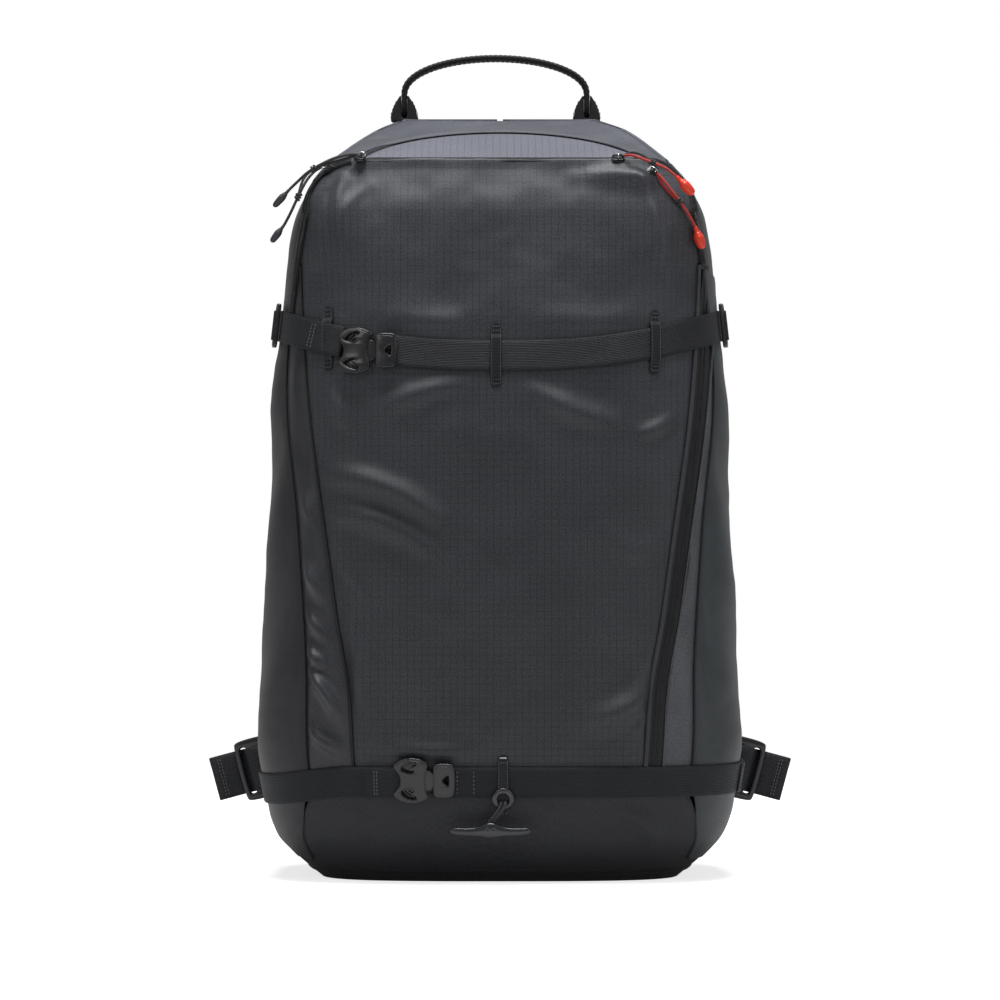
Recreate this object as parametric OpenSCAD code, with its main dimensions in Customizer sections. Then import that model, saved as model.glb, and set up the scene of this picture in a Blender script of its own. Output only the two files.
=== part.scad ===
// Ski backpack: zipped panel-load bag with lashing straps, carry loop,
// shoulder straps and hip belt. Millimetres. The bag stands on its flat
// bottom at z = 0, its front faces -Y and the wearer's side faces +Y.

/* [Bag] */
// Width of the bag at its widest ring
bag_w = 314; // [280:1:340]
// Height of the bag without its carry loop
bag_h = 500; // [450:1:540]
// Depth of the bag from the fullest front to the back panel
bag_d = 188; // [170:1:205]
// Thickness of the sewn fabric panels
wall = 2.5; // [1.5:0.1:3.5]
// Slope of the top panel, in degrees
top_slope = 19; // [17:0.5:21]
// Height of the top panel's front edge below the top of the bag
top_drop = 35; // [33:0.5:37]
// Half width of the straight front edge of the top panel
lid_half_w = 90; // [84:1:92]
// Clearance round the opening top panel
lid_gap = 0.6; // [0.3:0.05:0.8]

/* [Webbing and lashing straps] */
// Width of the lashing webbing
web_w = 20; // [15:1:25]
// Thickness of all webbing
web_t = 1.5; // [1.2:0.1:2]
// Height of the upper lashing strap above the ground
upper_strap_z = 338; // [320:1:345]
// Height of the lower lashing strap above the ground
lower_strap_z = 66; // [60:1:75]
// Width of the elastic keeper bands
keeper_w = 6.5; // [5:0.5:9]
// Sideways place of the upper buckle's middle
upper_buckle_x = -81; // [-86:1:-76]
// Sideways place of the lower buckle's middle
lower_buckle_x = -45; // [-50:1:-40]

// Distance of the opening panel's hinge fold behind the front edge
hinge_set = 8; // [7:0.5:10]

/* [Buckles] */
// Height of the buckle's receiving half
socket_h = 30; // [26:0.5:34]
// Length of the buckle's receiving half
socket_l = 22; // [20:0.5:26]
// Thickness of the buckle
buckle_t = 6; // [5:0.5:7]
// Height of the buckle's plug half
clip_h = 23; // [20:0.5:25]
// Length of the plug half's plate
clip_l = 16; // [14:0.5:18]
// Length of the tongue that enters the receiving half
tongue_l = 15; // [12:0.5:17]
// Clearance all round the tongue
tongue_gap = 0.4; // [0.3:0.05:0.6]
// Travel of the plug half when it is pulled out
clip_travel = 21; // [17:1:22]

/* [Carry loop] */
// Distance between the carry loop's two feet
loop_w = 122; // [110:1:130]
// Rise of the carry loop above its feet
loop_rise = 32; // [28:1:36]
// Width of the carry loop's webbing
loop_web_w = 16; // [13:1:18]
// Thickness of the carry loop
loop_t = 3.4; // [2.5:0.1:4.5]
// Height of the carry loop's turning line over the top of the bag
loop_foot_h = 9.5; // [9:0.5:11]

/* [Carrying system] */
// Thickness of the back pad
back_pad_t = 10; // [8:0.5:12]
// Thickness of the lumbar pad
lumbar_t = 15; // [12:0.5:18]
// Thickness of the frame sheet
sheet_t = 1.5; // [1:0.1:2]
// Width of a shoulder strap's pad
shoulder_w = 62; // [55:1:68]
// Thickness of a shoulder strap's pad
shoulder_t = 11; // [9:0.5:13]
// Length down the back of a shoulder strap's pad, as a share of the bag's height
shoulder_l = 0.57; // [0.53:0.01:0.6]
// Distance from the middle to a shoulder strap at its top
shoulder_x = 52; // [48:1:60]
// Reach of a hip fin out from the lumbar pad
fin_l = 86; // [75:1:92]
// Height of a hip fin
fin_h = 78; // [60:1:84]
// Thickness of a hip fin
fin_t = 12; // [10:0.5:14]
// Width of the hip webbing
hip_web_w = 30; // [25:1:32]

/* [Zip pulls and lashing toggle] */
// Length of a zip slider
slider_l = 9; // [7:0.5:11]
// Width of a zip slider
slider_w = 7.5; // [6:0.5:9]
// Height of a zip slider above the fabric
slider_t = 4; // [3:0.25:5]
// Diameter of the pull cords
cord_d = 2.4; // [1.8:0.1:3]
// Outer radius of the lashing grommet
grommet_r = 7.4; // [6.5:0.1:9]
// Hole radius of the lashing grommet
grommet_hole_r = 3.4; // [2.8:0.1:4.5]
// Length of the lashing toggle
toggle_l = 52; // [44:1:58]
// Diameter of the toggle's elastic
toggle_cord_d = 2.3; // [1.8:0.1:2.8]

/* [Hidden] */

$fn = 32;

sew = 0.3; // gap between a soft piece and what carries it
crease_z = bag_h - top_drop; // front edge of the top panel
corner_r = 33; // radius of the top corners in the front view
half_w = bag_w / 2;
back_y = bag_d * 0.48; // back panel's plane
full_y = back_y - bag_d; // fullest point of the front

// Share of the half width, front bulge and back plane over the height share
width_shape = [[0, .745], [.026, .841], [.06, .93], [.158, 1], [.292, .985], [.452, .955],
    [.612, .943], [.772, .895], [.852, .852], [.892, .80], [.92, .735], [.944, .66],
    [.968, .575], [.986, .495], [1, .40]];
front_shape = [[0, .63], [.06, .86], [.16, .98], [.4, 1], [.66, .94], [.86, .79], [.93, .633]];
back_shape = [[0, .84], [.04, .945], [.12, 1], [.84, 1], [.93, .955], [.97, .84], [.992, .71],
    [1, .62]];

// Cubic curve through a list of [place, value] points
function grade(p, i) = i == 0 ? (p[1][1] - p[0][1]) / (p[1][0] - p[0][0])
    : i == len(p) - 1 ? (p[i][1] - p[i - 1][1]) / (p[i][0] - p[i - 1][0])
    : (p[i + 1][1] - p[i - 1][1]) / (p[i + 1][0] - p[i - 1][0]);
function span(p, v, i = 0) = (i >= len(p) - 2 || v <= p[i + 1][0]) ? i : span(p, v, i + 1);
function curve(p, v) = let (i = span(p, v), h = p[i + 1][0] - p[i][0],
    t = min(1, max(0, (v - p[i][0]) / h)))
    (2 * t^3 - 3 * t^2 + 1) * p[i][1] + (t^3 - 2 * t^2 + t) * grade(p, i) * h
    + (3 * t^2 - 2 * t^3) * p[i + 1][1] + (t^3 - t^2) * grade(p, i + 1) * h;
function ease(a, b, v) = let (t = min(1, max(0, (v - a) / (b - a)))) t * t * (3 - 2 * t);

// The bag's skin: a superellipse ring at each height, squarer at the back and top
function half_width(z) = half_w * curve(width_shape, z / bag_h);
function crease_y() = full_y * .633;
function front_y(z) = z <= crease_z ? full_y * curve(front_shape, z / bag_h * .93 / (crease_z / bag_h))
    : crease_y() + min(z - crease_z, (bag_h - 12) - crease_z) / tan(top_slope)
      + max(0, z - (bag_h - 12)) * 2.9;
function rear_y(z) = back_y * curve(back_shape, z / bag_h);
function square_n(phi, z) = cos(phi) < 0 ? 5 : 3.3 + 4.7 * ease(bag_h * .76, crease_z, z);
function signed_pow(v, e) = sign(v) * pow(abs(v), e);
function skin(phi, z) = let (n = square_n(phi, z), mid = (front_y(z) + rear_y(z)) / 2,
    d = (rear_y(z) - front_y(z)) / 2)
    [half_width(z) * signed_pow(sin(phi), 2 / n), mid - d * signed_pow(cos(phi), 2 / n), z];
function unit(v) = v / norm(v);
// The outward direction comes from the cross product of two short steps on the skin
function outward(phi, z) = let (zc = min(bag_h - .6, max(.6, z)))
    unit(cross(skin(phi + .4, zc) - skin(phi - .4, zc), skin(phi, zc + .5) - skin(phi, zc - .5)));
function lifted(p, h) = skin(p[0], p[1]) + h * outward(p[0], p[1]);
// Ring angle of the skin's front at sideways place x
function angle_at(x, z) = sign(x) * asin(pow(min(1, abs(x) / half_width(z)), square_n(0, z) / 2));
function front_point(x, z, h = 0) = lifted([angle_at(x, z), z], h);

// Seam lines, as sideways places at each height
corner_x = lid_half_w + 3; // centre of the top corner
corner_z = crease_z - corner_r;
function corner_at(z) = corner_x + sqrt(max(0, corner_r^2 - (z - corner_z)^2));
function side_seam_x(z) = z > corner_z ? corner_at(z)
    : half_width(z) * curve([[0, .78], [.3, .80], [.53, .87], [.75, .94], [1, .945]], z / corner_z);
panel_top_z = crease_z * .86; // gusset ends here
function panel_seam_x(z) = z > panel_top_z ? side_seam_x(z)
    : half_width(z) * curve([[0, .59], [.28, .61], [.44, .69], [.61, .77], [.81, .85], [1, .93]],
        z / panel_top_z);
boot_z = 60; // top of the boot on the front
function boot_top(phi) = let (c = cos(phi)) c > .5 ? 14 + (boot_z - 14) * ease(.5, .8, c) : 14;
side_top_z = crease_z - 20; // top of the side and back panels

// Skin grid cells to triangles, clockwise seen from outside
function cell(a, b, c, d) = [[a, d, c], [a, c, b]];
function shell_faces(rows, cols) = let (n = rows * cols) concat(
    [for (i = [0:rows - 2], j = [0:cols - 2], f = cell(i * cols + j, i * cols + j + 1,
        (i + 1) * cols + j + 1, (i + 1) * cols + j)) f],
    [for (i = [0:rows - 2], j = [0:cols - 2], f = cell(n + i * cols + j, n + (i + 1) * cols + j,
        n + (i + 1) * cols + j + 1, n + i * cols + j + 1)) f],
    [for (j = [0:cols - 2], f = cell(n + j, n + j + 1, j + 1, j)) f],
    [for (j = [0:cols - 2], r = (rows - 1) * cols, f = cell(r + j, r + j + 1, n + r + j + 1, n + r + j)) f],
    [for (i = [0:rows - 2], f = cell(i * cols, (i + 1) * cols, n + (i + 1) * cols, n + i * cols)) f],
    [for (i = [0:rows - 2], e = cols - 1, f = cell(n + i * cols + e, n + (i + 1) * cols + e,
        (i + 1) * cols + e, i * cols + e)) f]);
// A sewn panel: rows of [ring angle, height], with its outside lifted above the skin
module panel(rows, top = 0, thick = wall) {
    polyhedron(concat([for (r = rows, p = r) lifted(p, top)],
        [for (r = rows, p = r) lifted(p, top - thick)]),
        shell_faces(len(rows), len(rows[0])), convexity = 6);
}
// A tub closes its rings with a middle point; up is 1 for a crown and -1 for a floor
function tub_faces(rings, n, up) = let (m = rings * n, ct = 2 * m, cb = 2 * m + 1) concat(
    [for (i = [0:rings - 2], j = [0:n - 1], f = cell(i * n + j, i * n + (j + 1) % n, (i + 1) * n
        + (j + 1) % n, (i + 1) * n + j)) f],
    [for (j = [0:n - 1]) [(rings - 1) * n + j, ct, (rings - 1) * n + (j + 1) % n]],
    [for (i = [0:rings - 2], j = [0:n - 1], f = cell(m + i * n + j, m + (i + 1) * n + j, m + (i + 1) * n
        + (j + 1) % n, m + i * n + (j + 1) % n)) f],
    [for (j = [0:n - 1]) [m + (rings - 1) * n + (j + 1) % n, cb, m + (rings - 1) * n + j]],
    [for (j = [0:n - 1], f = cell(m + j, m + (j + 1) % n, (j + 1) % n, j)) f]);
function turned(faces, up) = up > 0 ? faces : [for (f = faces) [f[2], f[1], f[0]]];
module tub(rings, inner, peak, inner_peak, up) {
    polyhedron(concat([for (r = rings, p = r) p], [for (r = inner, p = r) p], [peak, inner_peak]),
        turned(tub_faces(len(rings), len(rings[0]), up), up), convexity = 6);
}
// A profile of [side, up] points carried along frames of [point, side, up]
function sweep_faces(n, m) = concat(
    [for (i = [0:n - 2], j = [0:m - 1], f
        = cell(i * m + j, (i + 1) * m + j, (i + 1) * m + (j + 1) % m, i * m + (j + 1) % m)) f],
    [for (j = [1:m - 2]) [0, j + 1, j]],
    [for (j = [1:m - 2], e = (n - 1) * m) [e, e + j, e + j + 1]]);
module sweep(frames, profile) {
    polyhedron([for (f = frames, p = profile) f[0] + p[0] * f[1] + p[1] * f[2]],
        sweep_faces(len(frames), len(profile)), convexity = 4);
}
function flat_profile(w, t) = [[-w / 2, -t / 2], [-w / 2, t / 2], [w / 2, t / 2], [w / 2, -t / 2]];
function pad_profile(w, t) = [for (a = [0:30:330]) [-w / 2 * signed_pow(cos(a), .45), t / 2
    * signed_pow(sin(a), .75)]];
function tube_profile(d) = [for (a = [0:45:315]) [-d / 2 * cos(a), d / 2 * sin(a)]];
function along(p, i) = unit(p[min(len(p) - 1, i + 1)] - p[max(0, i - 1)]);
// Frames along a route, with one side direction kept
function route(p, side) = [for (i = [0:len(p) - 1]) let (t = along(p, i), u = unit(cross(t, side))) [p[i],
    cross(u, t), u]];

// Soft shell
function steps(a, b, n) = [for (i = [0:n]) a + (b - a) * i / n];
function strip(z_list, xa, xb, n)
    = [for (z = z_list) [for (s = steps(0, 1, n)) [angle_at(xa(z) + (xb(z) - xa(z)) * s, z), z]]];
front_rows = concat([for (a = [0:24:72]) corner_z + corner_r * cos(a)], steps(panel_top_z, boot_z, 11));
module front_panel() {
    color("#2f3136") panel([for (z = front_rows) [for (s
        = steps(1, -1, 18)) [angle_at(s * panel_seam_x(z), z), z]]]);
}
module gusset(side) {
    rows = [for (z = steps(boot_z, panel_top_z - 4, 10)) [for (s = side > 0 ? steps(0, 1, 3)
        : steps(1, 0, 3))
        [side * angle_at(panel_seam_x(z) + (side_seam_x(z) - panel_seam_x(z)) * s, z), z]]];
    color("#45474c") panel(rows);
}
back_corner = 128; // ring angle where the side panels meet the back panel
module side_panel(side) {
    rows = [for (i = [0:16]) let (t = i / 16) [for (s = side > 0 ? steps(0, 1, 12) : steps(1, 0, 12))
        let (z0 = boot_z + (side_top_z - boot_z) * t, a0 = angle_at(side_seam_x(z0), z0), a = a0
            + (back_corner - a0) * s,
            z1 = boot_top(a), z = s == 0 ? z0 : z1 + (side_top_z - z1) * t) [side * a, z]]];
    color("#373d3f") panel(rows);
}
module back_panel() {
    rows = [for (t = steps(0, 1, 12)) [for (a = steps(back_corner, 360 - back_corner, 14)) [a, 14
        + (side_top_z - 14) * t]]];
    color("#26272a") panel(rows);
}
ring_angles = concat([for (s = steps(-1, 1, 14)) s * 52], [for (a
    = steps(52, back_corner, 8)) if (a > 52) a],
    [for (a = steps(back_corner, 360 - back_corner, 10)) if (a > back_corner) a],
        [for (a = steps(360 - back_corner, 308, 8)) if (a > 360 - back_corner && a < 308) a]);
module bottom_panel() {
    drops = [1, .6, .3, .1, 0];
    color("#232428") tub([for (d = drops) [for (a = ring_angles) lifted([a, boot_top(a) * d], 0)]],
        [for (d = drops) [for (a = ring_angles)
            let (p = lifted([a, max(wall, boot_top(a) * d)], -wall)) [p[0], p[1], max(wall, p[2])]]],
        [0, 0, 0], [0, 0, wall], -1);
}
// The zip round the top panel is an arc in the top panel's plane
lid_rise = 69; // reach of the arc up the top panel
arc_r = (lid_half_w^2 + lid_rise^2) / (2 * lid_rise);
arc_half = asin(lid_half_w / arc_r);
function arc_at(a, r = arc_r) =
    let (s = r * cos(a) - (arc_r - lid_rise), z = crease_z + s * sin(top_slope)) [angle_at(r * sin(a), z),
    z];
module top_rear_panel() {
    arc = [for (a = steps(-arc_half, arc_half, 20)) arc_at(a)];
    right = concat([for (a = [0:15:60])
        let (z = corner_z + corner_r * cos(a)) if (z > side_top_z + 1) [angle_at(corner_at(z) - .01, z),
        z]],
        [[angle_at(corner_at(side_top_z), side_top_z), side_top_z]]);
    back = [for (a = steps(86, 274, 20)) [a, side_top_z]];
    left = [for (i = [len(right) - 1:-1:0]) [-right[i][0], right[i][1]]];
    rim = concat(arc, right, back, left);
    peak_z = bag_h - 1;
    rows = [for (t = [0, .2, .4, .6, .8, .92, 1]) [for (p = rim) [p[0], p[1] + (peak_z - p[1]) * t]]];
    mid_y = (front_y(peak_z) + rear_y(peak_z)) / 2;
    color("#6f7278") tub([for (r = rows) [for (p = r) lifted(p, 0)]],
        [for (r = rows) [for (p = r) lifted(p, -wall)]],
        [0, mid_y, bag_h], [0, mid_y, bag_h - wall - 1], 1);
}
lid_low_z = crease_z + hinge_set * sin(top_slope);
lid_r = arc_r - lid_gap;
lid_half = acos((hinge_set + arc_r - lid_rise) / lid_r); // the lid's share of the arc
module lid_panel() {
    rows = [for (t = steps(0, 1, 8)) [for (a = steps(-lid_half, lid_half, 20)) let (x = lid_r * sin(a),
        z = lid_low_z + (arc_at(a, lid_r)[1] + .02 - lid_low_z) * t + .02 * t) [angle_at(x, z), z]]];
    color("#8a8c96") panel(rows);
}
// Fixed band with the pocket's zip along the front edge of the top
module zip_tape() {
    color("#202125") panel([for (z = [crease_z, lid_low_z - lid_gap]) [for (s
        = steps(-1, 1, 12)) [angle_at(s * (lid_half_w - 3), z), z]]]);
}

// Inner frame and pads, as patches of the back
function patch(q, z0, z1, nq, nz)
    = [for (z = steps(z0, z1, nz)) [for (s = steps(-1, 1, nq)) [180 + s * asin(pow(q, 2.5)), z]]];
module frame_sheet() {
    color("#e6e4da") panel(patch(.7, bag_h * .08, side_top_z - 22, 8, 12), -wall - 1, sheet_t);
}
module back_pad() {
    color("#1d1e20") panel([for (z = steps(bag_h * .304, side_top_z - 12, 10)) [for (s
        = steps(-1, 1, 8)) [180 + s * asin(pow(.66, 2.5)), z]]], back_pad_t + sew, back_pad_t);
}
module lumbar_pad() {
    color("#1d1e20") panel(patch(.55, bag_h * .072, bag_h * .244, 8, 5), lumbar_t + sew, lumbar_t);
}

// Places a piece on the skin: its x runs round the bag, -y points outwards, z up
module on_skin(p, h = 0) {
    o = outward(p[0], p[1]);
    s = unit(cross(-o, [0, 0, 1]));
    u = cross(s, -o);
    c = lifted(p, h);
    multmatrix([[s[0], -o[0], u[0], c[0]], [s[1], -o[1], u[1], c[1]], [s[2], -o[2], u[2], c[2]],
        [0, 0, 0, 1]]) children();
}

// Webbing laid round the front: sags between its side anchors
upper_rise = 19; // climb of the upper strap towards the sides
function upper_z(x) = upper_strap_z + upper_rise * pow(abs(x) / (half_w * .88), 2.4);
function lower_z(x) = lower_strap_z - 7 * ease(.6, 1, -x / half_w);
web_gap = .5; // space under the lashing webbing
web_lift = web_gap + web_t / 2;
function band_frames(points, h)
    = [for (i = [0:len(points) - 1]) let (p = points[i], c = lifted(p, h), o = outward(p[0], p[1]),
    a = lifted(points[max(0, i - 1)], h), b = lifted(points[min(len(points) - 1, i + 1)], h), t
        = unit(b - a), s = unit(cross(o, t))) [c, s, unit(cross(t, s))]];
module band(points, w, t, h) { sweep(band_frames(points, h), flat_profile(w, t)); }
turn_angle = 44; // ring angle where the front turns towards the side
upper_end_angle = 82; // ring angles where the straps end at the sides
lower_end_angle = 92;
left_end_angle = 86;
function turn_x(z) = half_width(z) * pow(sin(turn_angle), 2 / square_n(0, z));
function x_at(a, z) = half_width(z) * pow(sin(a), 2 / square_n(0, z));
function upper_run(xa, n) = [for (x = steps(xa, turn_x(upper_strap_z), n)) [angle_at(x, upper_z(x)),
    upper_z(x)]];
function upper_corner() = [for (a = [turn_angle + 4:4:upper_end_angle]) [a,
    upper_z(x_at(a, upper_strap_z))]];
function lower_run(xa, n) = [for (x = steps(xa, turn_x(lower_strap_z), n)) [angle_at(x, lower_z(x)),
    lower_z(x)]];
function mirrored(p) = [for (i = [len(p) - 1:-1:0]) [-p[i][0], p[i][1]]];
upper_side_z = upper_z(half_w * .92);
module upper_strap_left() {
    run = concat(mirrored(upper_corner()), mirrored(upper_run(-upper_buckle_x + 2, 3)));
    color("#1a1b1f") band(run, web_w, web_t, web_lift);
}
module upper_strap_right() {
    run = concat(upper_run(upper_buckle_x + 2, 20), upper_corner());
    color("#1a1b1f") band(run, web_w, web_t, web_lift);
}
module lower_strap_left() {
    corner = [for (a = [-left_end_angle:4:-turn_angle - 3]) let (x = -x_at(-a, lower_strap_z)) [a,
        lower_z(x)]];
    run = concat(corner, [for (x = steps(-turn_x(lower_strap_z), lower_buckle_x - 2, 8)) [angle_at(x,
        lower_z(x)), lower_z(x)]]);
    color("#1e2024") band(run, web_w, web_t, web_lift);
}
module lower_strap_right() {
    run = concat(lower_run(lower_buckle_x + 2,
        18), [for (a = [turn_angle + 4:4:lower_end_angle]) [a, lower_strap_z]]);
    color("#1e2024") band(run, web_w, web_t, web_lift);
}

// Keeper bands stand over the webbing
over_web = web_gap + web_t + sew; // underside of what lies over the webbing
keeper_t = 1;
module keeper(x, z, reach, down) {
    top = z + reach;
    low = z - down;
    hs = [.5, .5, 1, 1, 1, .5, .5];
    zs = [top, z + web_w / 2 + 3.5, z + web_w / 2 + .8, z, z - web_w / 2 - .8, z - web_w / 2 - 3.5, low];
    pts = [for (v = zs) [angle_at(x, v), v]];
    frames = [for (i = [0:6]) let (h = hs[i] == 1 ? over_web + keeper_t / 2 : sew + keeper_t / 2, p
        = pts[i]) [lifted(p, h), unit(cross([0, 0, 1], outward(p[0], p[1]))), outward(p[0], p[1])]];
    sweep(frames, flat_profile(keeper_w, keeper_t));
}
grommet_x = 2;
grommet_z = lower_strap_z - web_w / 2;
module keepers() {
    color("#25272b") {
        for (x = [-half_w * .70, -2.5, half_w * .63]) keeper(x, upper_z(x), 21, 20);
        keeper(grommet_x, lower_z(0), 17, 22);
    }
}

// Side-release buckle, drawn flat: x along the strap, extruded outwards
module plate(t) { rotate([90, 0, 0]) linear_extrude(t) children(); }
module socket_outline() {
    difference() {
        translate([-socket_l, -socket_h / 2]) square([socket_l, socket_h]);
        for (s = [-1, 1]) translate([-socket_l * .45, s * (socket_h / 2 + 7)]) circle(r = 9.5);
    }
}
module buckle_socket() {
    tongue_h = clip_h - 8;
    difference() {
        plate(buckle_t) socket_outline();
        translate([-tongue_l - 1.5, -buckle_t + 1.4, -tongue_h / 2 - tongue_gap]) cube([tongue_l + 2,
            buckle_t - 2.8, tongue_h + 2 * tongue_gap]);
        for (s = [-1, 1]) translate([-socket_l + 3, 1, s * 7 - 3]) rotate([90, 0, 0]) cube([3, 6, buckle_t
            + 2]);
    }
}
module buckle_clip() {
    tongue_h = clip_h - 8;
    difference() {
        union() {
            translate([.5, 0, 0]) plate(buckle_t - 1.2) difference() {
                translate([0, -clip_h / 2]) square([clip_l, clip_h]);
                polygon([[8, 0], [12.5, 4.5], [12.5, -4.5]]);
            }
            translate([-tongue_l, -buckle_t + 1.4 + tongue_gap, -tongue_h / 2]) cube([tongue_l + 1,
                buckle_t - 2.8 - 2 * tongue_gap, tongue_h]);
        }
        translate([-tongue_l + 4, -buckle_t, -2.5]) cube([tongue_l - 6, buckle_t, 5]);
    }
}
function upper_place() = [angle_at(upper_buckle_x, upper_strap_z + 3), upper_strap_z + 3];
function lower_place() = [angle_at(lower_buckle_x, lower_strap_z + 2), lower_strap_z + 2];
module upper_buckle_socket() { color("#2a2b2f") on_skin(upper_place(), over_web) buckle_socket(); }
module upper_buckle_clip() { color("#2a2b2f") on_skin(upper_place(), over_web) buckle_clip(); }
module lower_buckle_socket() { color("#2a2b2f") on_skin(lower_place(), over_web) buckle_socket(); }
module lower_buckle_clip() { color("#2a2b2f") on_skin(lower_place(), over_web) buckle_clip(); }
// Two-slot adjusters over the upper strap's side ends
module triglide(l, w, t, slot) {
    difference() {
        translate([-l / 2, -t, -w / 2]) cube([l, t, w]);
        for (s = [-1, 1]) translate([s * l / 4 - slot / 2, -t - 1, -w / 2 + 2.5]) cube([slot, t + 2, w
            - 5]);
    }
}
module upper_triglides() {
    color("#26272b") for (s = [-1, 1]) on_skin([s * (upper_end_angle - 3), upper_side_z],
        over_web) triglide(10, web_w + 9, 2.6, 2.4);
}

// Grommet in the lower keeper, with its elastic and toggle
grommet_h = over_web + keeper_t + .3;
module toggle_grommet() {
    color("#5a5c60") on_skin([angle_at(grommet_x, grommet_z), grommet_z],
        grommet_h) rotate([90, 0, 0]) difference() {
        cylinder(r = grommet_r, h = 1.4);
        translate([0, 0, -1]) cylinder(r = grommet_hole_r, h = 4);
    }
}
toggle_x = -6;
toggle_z = 34;
toggle_y = -98.5;
module toggle() {
    color("#303136") translate([toggle_x, toggle_y, toggle_z]) rotate([90, 0, 0]) translate([0, 0,
        -3.5]) linear_extrude(7) union() {
        hull() { translate([-toggle_l / 2 + 3, 1]) circle(r = 2.5);
            translate([toggle_l / 2 - 3, 1]) circle(r = 2.5); circle(r = 4); }
        translate([0, 2]) circle(r = 4.6);
    }
}
elastic = [[2, -96, 53.3], [2, -98.2, 52.3], [1, -99.3, 49.5], [-1, -99.6, 46.5], [-3.5, -99.3, 43.7],
    [-5.5, -98.5, 41.2]];
module toggle_cord() { color("#151518") sweep(route(elastic, [0, -1, 0]), tube_profile(toggle_cord_d)); }

// Carry loop: an arch of webbing with round ends that turn between two cheeks
loop_x = -3;
loop_y = 50;
loop_end_r = loop_web_w / 2;
loop_foot_z = bag_h + loop_foot_h;
module haul_loop() {
    arch = concat([[loop_x + loop_w / 2, loop_y, loop_foot_z]],
        [for (a = [0:9:180]) [loop_x + loop_w / 2 * cos(a), loop_y, loop_foot_z + loop_end_r
            + (loop_rise - loop_end_r) * sin(a)]],
        [[loop_x - loop_w / 2, loop_y, loop_foot_z]]);
    color("#17181b") union() {
        sweep(route(arch, [0, 1, 0]), flat_profile(loop_web_w, loop_t));
        for (s = [-1, 1]) translate([loop_x + s * loop_w / 2, loop_y, loop_foot_z]) rotate([0, 90,
            0]) cylinder(r = loop_end_r, h = loop_t, center = true);
    }
}
cheek_t = 5;
module haul_loop_feet() {
    slot = loop_t + 4 * sew;
    floor_z = -loop_end_r - 2 * sew; // under the loop's round end
    color("#141416") for (s = [-1, 1]) translate([loop_x + s * loop_w / 2, loop_y,
        loop_foot_z]) difference() {
        union() {
            rotate([0, 90, 0]) cylinder(r = 4.5, h = slot + 2 * cheek_t, center = true);
            translate([-slot / 2 - cheek_t, -7, floor_z - 3]) cube([slot + 2 * cheek_t, 14, 3 - floor_z]);
        }
        translate([-slot / 2, -20, floor_z]) cube([slot, 40, 40]);
    }
}

// Shoulder straps: padded bands that stand off the back between their ends
shoulder_top_z = side_top_z + 8;
shoulder_drop = shoulder_l * bag_h;
pad_y = back_y + back_pad_t + shoulder_t / 2 + 1.5;
function shoulder_at(side, t) = [side * (shoulder_x + 34 * ease(0, 1, t) + 6 * sin(180 * t)), pad_y - 8
    * (1 - ease(0, .2, t)) + 32 * sin(180 * t), shoulder_top_z - shoulder_drop * t];
module shoulder_pad(side) {
    pts = [for (t = steps(0, 1, 14)) shoulder_at(side, t)];
    color("#1f2023") sweep(route(pts, [1, 0, 0]), pad_profile(shoulder_w, shoulder_t));
}
function pad_end(side) = shoulder_at(side, 1);
anchor_angle = 141;
anchor_z = 32;
module lower_anchors() {
    color("#1a1b1f") for (s = [-1, 1]) on_skin([s * anchor_angle, anchor_z],
        sew) translate([-12, -3, -6]) cube([24, 3, 12]);
}
// The lower webbing runs from the pad's end, behind the hip fin, to its anchor
module shoulder_webbing(side) {
    e = pad_end(side);
    low = [for (p = [[155, 118, 8], [151, 98, 7], [147.5, 80, 6], [145, 64, 5], [142.5, 50, 3.8],
        [141, anchor_z + 6.6, 2.8]]) lifted([side * p[0], p[1]], p[2])];
    pts = concat([[e[0], e[1] - 1, e[2] - sew - 14.5]], low);
    color("#1a1b1f") sweep(route(pts, [1, 0, 0]), flat_profile(web_w, web_t));
}
module shoulder_ladder(side) {
    e = pad_end(side);
    color("#242529") translate([e[0], e[1] + 1, e[2] - sew - 4.9]) rotate([90, 0, 0]) linear_extrude(4,
        center = true) difference() {
        square([web_w + 8, 7.4], center = true);
        square([web_w + 1, 2.6], center = true);
    }
}
function sternum_at(side) = shoulder_at(side, .4);
sternum_lean = 10.9; // lean of the pad's inner edge there
module sternum_strap(side) {
    color("#26272b") translate(sternum_at(side)) mirror([side > 0 ? 0 : 1, 0, 0]) rotate([0,
        -sternum_lean, 0]) translate([-shoulder_w / 2 - sew - .4, 0, 0]) {
        translate([-14, -.9, -9]) cube([14, 1.8, 18]);
        translate([-17, -2.5, -11]) cube([4, 5, 22]);
    }
}

// Hip belt: a fin each side, its webbing and a one-bar adjuster
fin_y = back_y + lumbar_t + 2 * sew + fin_t / 2 + .3;
fin_x = half_w * .4;
fin_z = bag_h * .158;
module hip_fin(side) {
    pts = [for (t = steps(0, 1, 6)) [side * (fin_x + fin_l * t), fin_y + 10 * t * t, fin_z - 12 * t]];
    color("#1f2023") sweep(route(side > 0 ? pts : [for (i = [6:-1:0]) pts[i]], [0, 0, 1]),
        pad_profile(fin_h, fin_t));
}
function fin_end(side) = [side * (fin_x + fin_l), fin_y + 10, fin_z - 12];
hip_tilt = 15;
module hip_ladder(side) {
    e = fin_end(side);
    color("#2a2b2f") translate(e) mirror([side > 0 ? 0 : 1, 0, 0]) rotate([0, hip_tilt,
        0]) translate([17.1, 0, 0]) rotate([90, 0, 0]) linear_extrude(5, center = true) difference() {
        square([27, 42], center = true);
        for (x = [-7.5, 7.5]) translate([x, 0]) square([4.6, hip_web_w + 2], center = true);
    }
}
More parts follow.
